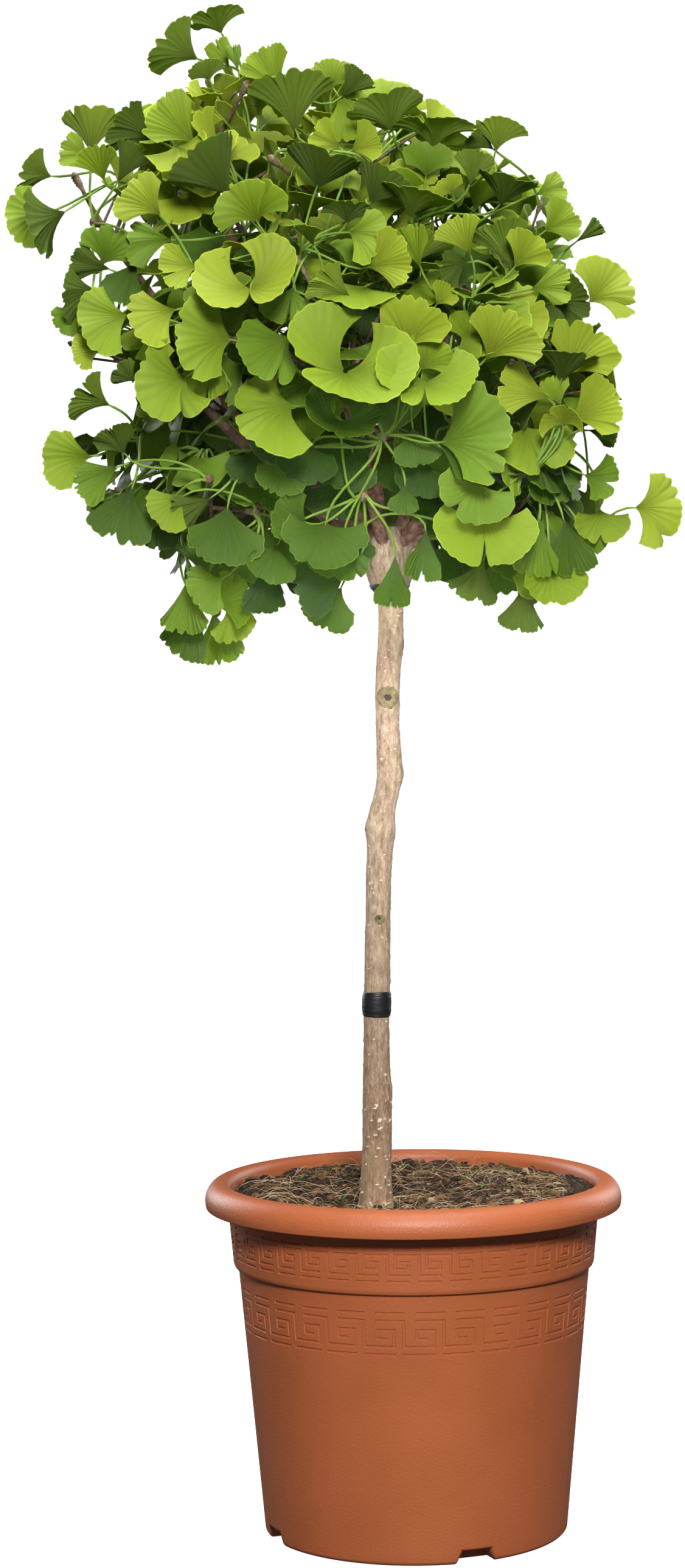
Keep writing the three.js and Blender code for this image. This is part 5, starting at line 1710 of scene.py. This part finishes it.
class BladeGrid:
    """The stations of a closed blade, its triangles, and their side: 0 upper, 1 under, 2 edge."""

    def __init__(self, columns, outward):
        rows = len(outward)
        places = np.linspace(-1, 1, columns)
        self.across = np.tile(places * (0.72 + 0.28 * places ** 2), rows)
        self.outward = np.repeat(outward, columns)
        upper = grid_triangles(rows, columns, False)
        sheet = rows * columns
        under = upper[:, OTHER_WAY] + sheet
        on_edge = (upper // columns).min(1) >= rows - 2
        side = np.concatenate([np.where(on_edge, 2, 0), np.where(on_edge, 2, 1)])
        outline = np.concatenate([
            np.arange(columns),
            np.arange(1, rows) * columns + columns - 1,
            (rows - 1) * columns + np.arange(columns - 2, -1, -1),
            np.arange(rows - 2, 0, -1) * columns,
        ])
        following = np.roll(outline, -1)
        rim = np.concatenate([
            np.stack([outline, outline + sheet, following + sheet], 1),
            np.stack([outline, following + sheet, following], 1),
        ])
        self.triangles = np.concatenate([upper, under, rim])
        self.sides = np.concatenate([side, np.full(len(rim), 2)])


FINE_IN_FRONT = -110.0  # leaves in front of here have the finer grid
# columns across each kind of blade, and its rows outward
BOWL_BLADE = BladeGrid(161, (0.045, 0.14, 0.28, 0.44, 0.60, 0.74, 0.86, 0.94, 0.985, 1.0))
NAMED_BLADE = BladeGrid(65, (0.045, 0.18, 0.38, 0.58, 0.76, 0.90, 0.985, 1.0))
FINE_BLADE = BladeGrid(39, (0.045, 0.20, 0.42, 0.64, 0.84, 0.98, 1.0))
PLAIN_BLADE = BladeGrid(23, (0.045, 0.24, 0.54, 0.80, 0.975, 1.0))


def grid_of(leaf):
    """The finest grids are for the leaves that stand out at the front."""
    if leaf.named:
        return BOWL_BLADE if leaf.habit["narrow"] > NARROW_BASE else NAMED_BLADE
    return FINE_BLADE if leaf.base[1] < FINE_IN_FRONT else PLAIN_BLADE


# how far a blade faces each way: flat ones low down, then upright ones
FACING = {"outward": (0.9, 0.1), "up": (0.4, 0.55), "shoot": (0.15, 0.6), "scatter": 1.3}


def facing_of(base, axis, spur_axis, random, upright):
    """The way a blade's upper side looks: to the sky and outward, or to its own shoot higher up."""
    outward = unit(base - CROWN_CORE)
    face = outward * mix(*FACING["outward"], upright) + UP * mix(*FACING["up"], upright)
    face = face + spur_axis * mix(*FACING["shoot"], upright)
    face = face + (np.array([random(), random(), random()]) - 0.5) * FACING["scatter"]
    return unit(face - axis * (face @ axis))


HANG = {"low": 0.85, "high": -0.25, "from": 800.0, "over": 330.0, "least": 0.3}
UPRIGHT = {"from": 960, "over": 170}
# the ways that a stalk and a blade take
STALK_WAY = {"shoot": 0.5, "outward": 0.5, "down": 0.3}
BLADE_WAY = {"scatter": 0.6, "outward": 0.3}


def hang_of(height):
    return mix(HANG["low"], HANG["high"], smooth((height - HANG["from"]) / HANG["over"]))


def upright_of(height):
    return float(smooth((height - UPRIGHT["from"]) / UPRIGHT["over"]))


def seeded_leaf(spur, random):
    tip = spur["tip"]
    outward = unit(tip - CROWN_CORE)
    hang = HANG["least"] + hang_of(tip[2])
    direction = unit(random_in(np.zeros(3), 1, random))
    direction = direction + spur["axis"] * STALK_WAY["shoot"] + outward * STALK_WAY["outward"]
    direction = unit(direction - UP * STALK_WAY["down"] * hang)
    base = tip + direction * mix(PETIOLE["shortest"], PETIOLE["longest"], random())
    axis = random_in(direction, BLADE_WAY["scatter"], random) + outward * BLADE_WAY["outward"] * random()
    axis = unit(axis - UP * hang * random())
    upright = upright_of(base[2])
    face = facing_of(base, axis, spur["axis"], random, upright)
    size = mix(BLADE["smallest"], BLADE["largest"], random())
    leaf = Leaf(base, axis, face, size, leaf_habit(random, upright))
    leaf.spur = spur
    return leaf


def hides_named(points, named):
    """Whether any of these points lies in front of one of the named leaves."""
    for other in named:
        aside = points[:, [0, 2]] - other.middle[[0, 2]]
        over = np.hypot(aside[:, 0], aside[:, 1]) < other.half_width
        if np.any(over & (points[:, 1] < other.base[1])):
            return True
    return False


NEIGHBOURS = 150  # leaves further away can't touch


def leaf_room(leaf, space, wood, grown):
    """How free a leaf hangs: its least distance to other blades, or nothing where it doesn't fit."""
    if (not space.inside(leaf.samples, -OVERHANG)
            or np.linalg.norm(leaf.samples - space.heart, axis=1).max() > space.reach):
        return None
    if leaf.samples[:, 2].min() < LOWEST_LEAF:
        return None
    if room_from(leaf.samples, wood) < LIMB_CLEARANCE:
        return None
    room = ROOMY
    for other in grown:
        if length_of(other.base - leaf.base) < NEIGHBOURS:
            apart = leaf.samples[:, None] - other.samples
            room = min(room, math.sqrt(float((apart * apart).sum(2).min())))
            if room < CLOSEST_BLADES:
                return None
    return room


def named_leaf(k, base_x, base_y, tip_x, tip_y, sunk, lean, span, notch, tint,
               form="open", side="upper", notch_at=0):
    """One of the leaves that are placed one by one, with the rest of its form by a seeded rule."""
    depth = front_depth(base_x, base_y) + sunk
    base = seen_at(base_x, base_y, depth)
    tip = seen_at(tip_x, tip_y, depth - lean)
    random = seeded(SEED, 9, k)
    habit = leaf_habit(random, 0.0)
    cone = math.radians(CONES[form])
    habit["cone"] = cone
    habit["span"] = min(math.radians(span), math.radians(WIDEST_TURN) * math.sin(cone))
    habit["notch"] = notch
    habit["notch_at"] = notch_at
    habit["scallop"] = max(habit["scallop"], LEAST_SCALLOP)
    habit["scallops"] *= max(1.0, span / SCALLOP_SPAN)
    if notch > PARTED:
        habit["notch_width"] = DEEP_NOTCH
    if form in SHARP_FORMS:
        habit["corner"] *= SHARP_CORNER
    axis = unit(tip - base)
    if form == "bowl":
        face = -axis * (1, 0, 1)
        habit.update(BOWL_HABIT)
    elif form == "level":
        face = np.array([0.0, -0.8, 0.6])
    elif side == "upper":
        face = np.array([0.5 * (random() - 0.5), -1.0, 0.25])
    else:
        face = np.array([0.5 * (random() - 0.5), 0.85, 0.5])
    face = unit(face - axis * (face @ axis))
    leaf = Leaf(base, axis, face, length_of(tip - base) * NAMED_STRETCH, habit)
    leaf.tint = tint
    leaf.named = True
    leaf.sunk = sunk
    leaf.mass = nearest_mass(base)
    return leaf


# what a named leaf's stalk costs from a spur: its usual length, and weights of the rest
STALK = {"usual": 62, "in_line": 26, "behind": 2.0, "slack": 10, "named": 14}


def spur_behind(leaf, spurs):
    """The spur that a named leaf's stalk comes from: a stalk's length away, in line, and behind it."""
    def cost(spur):
        way = leaf.base - spur["tip"]
        length = length_of(way)
        in_front = max(0.0, leaf.base[1] - spur["tip"][1] - STALK["slack"])
        in_line = STALK["in_line"] * float(way @ leaf.axis) / length
        bonus = STALK["named"] * spur["named"]
        return abs(length - STALK["usual"]) - in_line + STALK["behind"] * in_front - bonus

    return min(spurs, key=cost)


def grow_leaves(mass, order, wood, spurs, space, limbs, grown, named):
    """Leaves wherever they have the most room."""
    own = [(start, end, radii[0]) for points, radii in wood for start, end in zip(points, points[1:])]
    solid = as_arrays(limbs + own)
    leaves = []
    size = (mass["reach"] / USUAL_REACH) ** 2
    outer_count, inner_count = round(LEAVES * size), round(INNER_LEAVES * size)
    for k in range(outer_count + inner_count):
        random = seeded(SEED, order, 7, k)
        outward_share = OUTER_SHARE if k < outer_count else -OUTER_SHARE
        best, best_worth = None, -math.inf
        for _ in range(TRIES):
            spur = spurs[int(len(spurs) * random())]
            leaf = seeded_leaf(spur, random)
            if spur["leaves"] >= MOST_ON_SPUR:
                continue
            room = leaf_room(leaf, space, solid, grown)
            if room is None or hides_named(leaf.samples, named) or not in_outline(leaf.samples):
                continue
            worth = room + outward_share * length_of(leaf.base - CROWN_CORE)
            if worth > best_worth:
                best, best_worth = leaf, worth
        if best:
            best.spur["leaves"] += 1
            leaves.append(best)
            grown.append(best)
    return leaves


def leaf_points(leaf, grid):
    """Both sides of a blade, a little thicker toward its base, and their places for the ribs."""
    middle, normal = blade_surface(leaf, grid.across, grid.outward)
    half = HALF_THICKNESS * (1 + BASE_SWELL * (1 - grid.outward) ** 6)[:, None]
    places = np.stack([grid.across * leaf.habit["span"] * leaf.size / VEIN_PITCH, grid.outward], 1)
    sides = [middle + normal * half, middle - normal * half]
    return np.concatenate(sides), np.concatenate([places, places])


PETIOLE_SIDES = 6
PETIOLE_BOW = 0.34
# shares of a stalk's length, and how thick it is there
PETIOLE_TAPER = ((0, 0.08, 0.5, 0.9, 1), (1.35, 1.0, 0.82, 0.85, 0.4))


def petiole_shape(leaf):
    """The leaf's stalk, from the spur's bud in a bow to the blade's base."""
    tip, shoot = leaf.spur["tip"], leaf.spur["axis"]
    sideways = leaf.base - tip
    sideways = unit(sideways - shoot * (sideways @ shoot))
    root = tip + sideways * leaf.spur["size"]["radius"] * 0.45 - shoot * 2
    finish = leaf.base + leaf.axis * leaf.size * 0.10
    span = length_of(finish - root)
    leave = root + unit(sideways * 0.5 + shoot * 0.7 + UP * 0.2) * span * PETIOLE_BOW
    arrive = leaf.base - leaf.axis * span * PETIOLE_BOW
    t = np.linspace(0, 1, 9)[:, None]
    line = root * (1 - t) ** 3 + 3 * leave * t * (1 - t) ** 2
    line = line + 3 * arrive * t * t * (1 - t) + finish * t ** 3
    radii = PETIOLE["radius"] * np.interp(t[:, 0], *PETIOLE_TAPER)
    return rings_skin(tube_rings(line, radii, PETIOLE_SIDES))


# Plain base colours for the blades from dark to bright: upper side, paler under side, thin edge.
TINTS = {
    "dark": ((0.036, 0.082, 0.008), (0.066, 0.108, 0.013), (0.08, 0.15, 0.02)),
    "deep": ((0.074, 0.150, 0.011), (0.110, 0.172, 0.018), (0.15, 0.25, 0.02)),
    "mid": ((0.162, 0.275, 0.019), (0.184, 0.268, 0.028), (0.24, 0.35, 0.03)),
    "fresh": ((0.244, 0.352, 0.022), (0.248, 0.335, 0.033), (0.33, 0.43, 0.03)),
    "bright": ((0.318, 0.404, 0.029), (0.314, 0.388, 0.040), (0.42, 0.49, 0.04)),
}
BLADE_FINISH = {"upper": (0.46, 1.3), "under": (0.62, 2.0), "edge": (0.62, 0)}  # roughness, pleat depth
GLOW = (1.5, 1.45, 0.8)  # the light through a blade, beside its own colour
PETIOLE_FINISH = len(TINTS) * len(BLADE_FINISH)
# how light a blade is dealt: painted light and shade, lighter outward from the crown's core, to the front
# and high up, and its own tint by spray and by leaf
LIGHT = {"least": 0.12, "outward": 0.40, "front": 0.22, "height": 0.38, "spray": 0.3, "leaf": 0.3}
PAINTED_SHADE_CORE = {"radius": 90, "over": 190}
PAINTED_LIGHT_FRONT = 250
LIT_HEIGHT = {"from": 860, "over": 330}


def leaf_materials():
    materials = []
    for tint, colours in TINTS.items():
        for (side, finish), colour in zip(BLADE_FINISH.items(), colours):
            glow = [min(1, part * share) for part, share in zip(colour, GLOW)]
            materials.append(leaf_material(f"leaf_{tint}_{side}", colour, glow, *finish))
    materials.append(leaf_material("petiole_green", (0.22, 0.36, 0.05), (0.3, 0.45, 0.05), 0.5))
    return materials


def deal_tints_and_painted_light(order, leaves, spurs):
    """Each spray has a tint of its own, with painted light and shade over it: brighter outside, in front
    and high up, darker within.
    """
    random = seeded(SEED, order, 8)
    lean = {id(spur): random() for spur in spurs}
    for leaf in leaves:
        chance = random()
        if leaf.named:
            continue
        # painted shade toward the crown's core, painted light to the front and high up
        outward = (length_of(leaf.base - CROWN_CORE) - PAINTED_SHADE_CORE["radius"]) / PAINTED_SHADE_CORE["over"]
        front = -leaf.base[1] / PAINTED_LIGHT_FRONT
        height = (leaf.base[2] - LIT_HEIGHT["from"]) / LIT_HEIGHT["over"]
        light = LIGHT["least"] + LIGHT["outward"] * outward + LIGHT["front"] * front
        light = light + LIGHT["height"] * height
        light += LIGHT["spray"] * (lean[id(leaf.spur)] - 0.5) + LIGHT["leaf"] * (chance - 0.5)
        leaf.tint = int(np.clip(light, 0, 0.999) * len(TINTS))


STEM_STATIONS = 16
TWIG_SIDES = 10


def twig_shape(order, wood, spurs, forward):
    """A mass's stem and twigs, in the first finish, and its spurs, in the second."""
    shape = Shape()
    stem = wood[0][0]
    middle = stem[0] + forward * STEM_ENTRY
    course = [bend(stem[0], middle, stem[-1], t) for t in np.linspace(0, 1, STEM_STATIONS)]
    lines = [course] + [points for points, _ in wood[1:]]
    for k, (line, (_, radii)) in enumerate(zip(lines, wood)):
        slender = [radius * SLENDER for radius in radii]
        shape.add(*rings_skin(wood_rings(np.array(line), slender, TWIG_SIDES, k + order)))
    for k, spur in enumerate(spurs):
        shape.add(*rings_skin(spur_rings(spur["tip"], spur["axis"], spur["size"], k)), 1)
    return shape


def leaves_shape(leaves):
    shape = Shape()
    for leaf in leaves:
        grid = grid_of(leaf)
        points, places = leaf_points(leaf, grid)
        shape.add(points, grid.triangles, grid.sides + leaf.tint * len(BLADE_FINISH), places)
        shape.add(*petiole_shape(leaf), PETIOLE_FINISH)
    return shape


def add_foliage(boughs):
    limbs = limb_lengths(boughs)
    spaces = [Space(mass, limbs) for mass in MASSES]
    named = [named_leaf(k, *row) for k, row in enumerate(NAMED_LEAVES)]
    seen = [leaf for leaf in named if leaf.sunk < DEEP_INSIDE]
    woods = [grow_wood(order, bough, spaces[order], seen) for order, bough in enumerate(boughs.values())]
    all_spurs = [spur for _, spurs in woods for spur in spurs]
    for leaf in named:
        leaf.spur = spur_behind(leaf, all_spurs)
    materials = leaf_materials()
    wood_materials = [
        plain_bark("twig_bark", (0.06, 0.038, 0.022), (0.20, 0.13, 0.08), 0.75),
        plain_bark("spur_bark", (0.09, 0.06, 0.035), (0.27, 0.19, 0.12), 0.85),
    ]
    grown = list(named)
    for order, mass in enumerate(MASSES):
        wood, spurs = woods[order]
        leaves = grow_leaves(mass, order, wood, spurs, spaces[order], limbs, grown, seen)
        leaves += [leaf for leaf in named if leaf.mass == order]
        deal_tints_and_painted_light(order, leaves, all_spurs)
        node = f"foliage_{mass['name']}"
        twigs = twig_shape(order, wood, spurs, boughs[mass["name"]]["forward"])
        dress(make_piece(f"{node}_twigs", twigs, wood_materials, 70), "bough", node)
        blades = leaves_shape(leaves)
        dress(make_piece(f"{node}_leaves", blades, materials, 60, "veins"), "leaf", node)


# ---------------------------------------------------------------- studio
STAGE_COLUMNS = 96
STAGE_PROFILE = [(0.01, 0, 0), (14000, 0, 3000), (15000, 12000, 0)]
STAGE_WHITE = (0.9, 0.9, 0.9)
WORLD_STRENGTH = 0.085
# name, place and target (m), size (m), power (W), spread in degrees
LIGHTS = [
    ("key", (0.15, -2.7, 1.85), (0, 0, 0.6), (0.6, 0.6), 101, 180),
    ("fill", (-0.1, -2.8, 0.76), (-0.02, 0, 0.755), (0.2, 0.2), 0.38, 11),
    ("top", (0.1, -0.3, 3.3), (0, 0, 0.8), (1.8, 1.8), 110, 180),
    ("back left", (-2.1, 2.2, 1.3), (0, 0, 0.6), (0.9, 1.6), 50, 180),
    ("back right", (2.1, 2.2, 1.3), (0, 0, 0.6), (0.9, 1.6), 34, 180),
]


def set_up(name, data, side, over, back, place):
    """A camera or a lamp in the scene, turned to its three axes."""
    thing = bpy.data.objects.new(name, data)
    thing.matrix_world = Matrix([[side[i], over[i], back[i], place[i]] for i in range(3)] + [[0, 0, 0, 1]])
    bpy.context.scene.collection.objects.link(thing)
    return thing


def add_camera():
    camera = bpy.data.cameras.new("camera")
    camera.sensor_width = SENSOR
    camera.lens = CAMERA["lens"]
    right, up, forward = camera_axes()
    bpy.context.scene.camera = set_up("camera", camera, right, up, -forward, CAMERA["place"])


def add_area_light(name, place, target, size, power, spread):
    light = bpy.data.lights.new(name, "AREA")
    light.shape = "RECTANGLE"
    light.size, light.size_y = size
    light.energy = power
    light.spread = math.radians(spread)
    back = unit(np.array(place, float) - np.array(target, float))
    # a lamp that looks nearly straight down has no side across the plumb line
    side = unit(np.cross(UP, back) if abs(back[2]) < 0.99 else np.array([1.0, 0, 0]))
    lamp = set_up(name, light, side, np.cross(back, side), back, place)
    lamp.visible_camera = False


def add_stage():
    """A pale floor that curves up into a backdrop all round."""
    angles = turns(STAGE_COLUMNS)
    profile = rounded(STAGE_PROFILE, 14)
    radius, height = profile[:, :1], profile[:, 1:]
    rings = np.stack(np.broadcast_arrays(radius * np.cos(angles), radius * np.sin(angles), height), -1)
    triangles = grid_triangles(len(profile), STAGE_COLUMNS, True)[:, OTHER_WAY]
    white = Finish("stage_white", 0.9, STAGE_WHITE)
    white.shader.inputs["Emission Color"].default_value = (1, 1, 1, 1)
    white.shader.inputs["Emission Strength"].default_value = 1.0
    floor = make_piece("studio_floor", whole(rings, triangles), [white.material], 80)
    floor.visible_diffuse = False
    floor.visible_glossy = False


def add_lights():
    world = bpy.data.worlds.new("studio")
    world.use_nodes = True
    background = world.node_tree.nodes["Background"]
    background.inputs["Color"].default_value = (1, 1, 1, 1)
    background.inputs["Strength"].default_value = WORLD_STRENGTH
    bpy.context.scene.world = world
    for light in LIGHTS:
        add_area_light(*light)
    bpy.context.scene.view_settings.view_transform = "Standard"


# ---------------------------------------------------------------- the whole plant
add_pot()
add_soil()
add_trunk()
add_ties()
limb_courses = lay_boughs()
add_boughs(limb_courses)
add_foliage(limb_courses)
add_camera()
add_stage()
add_lights()
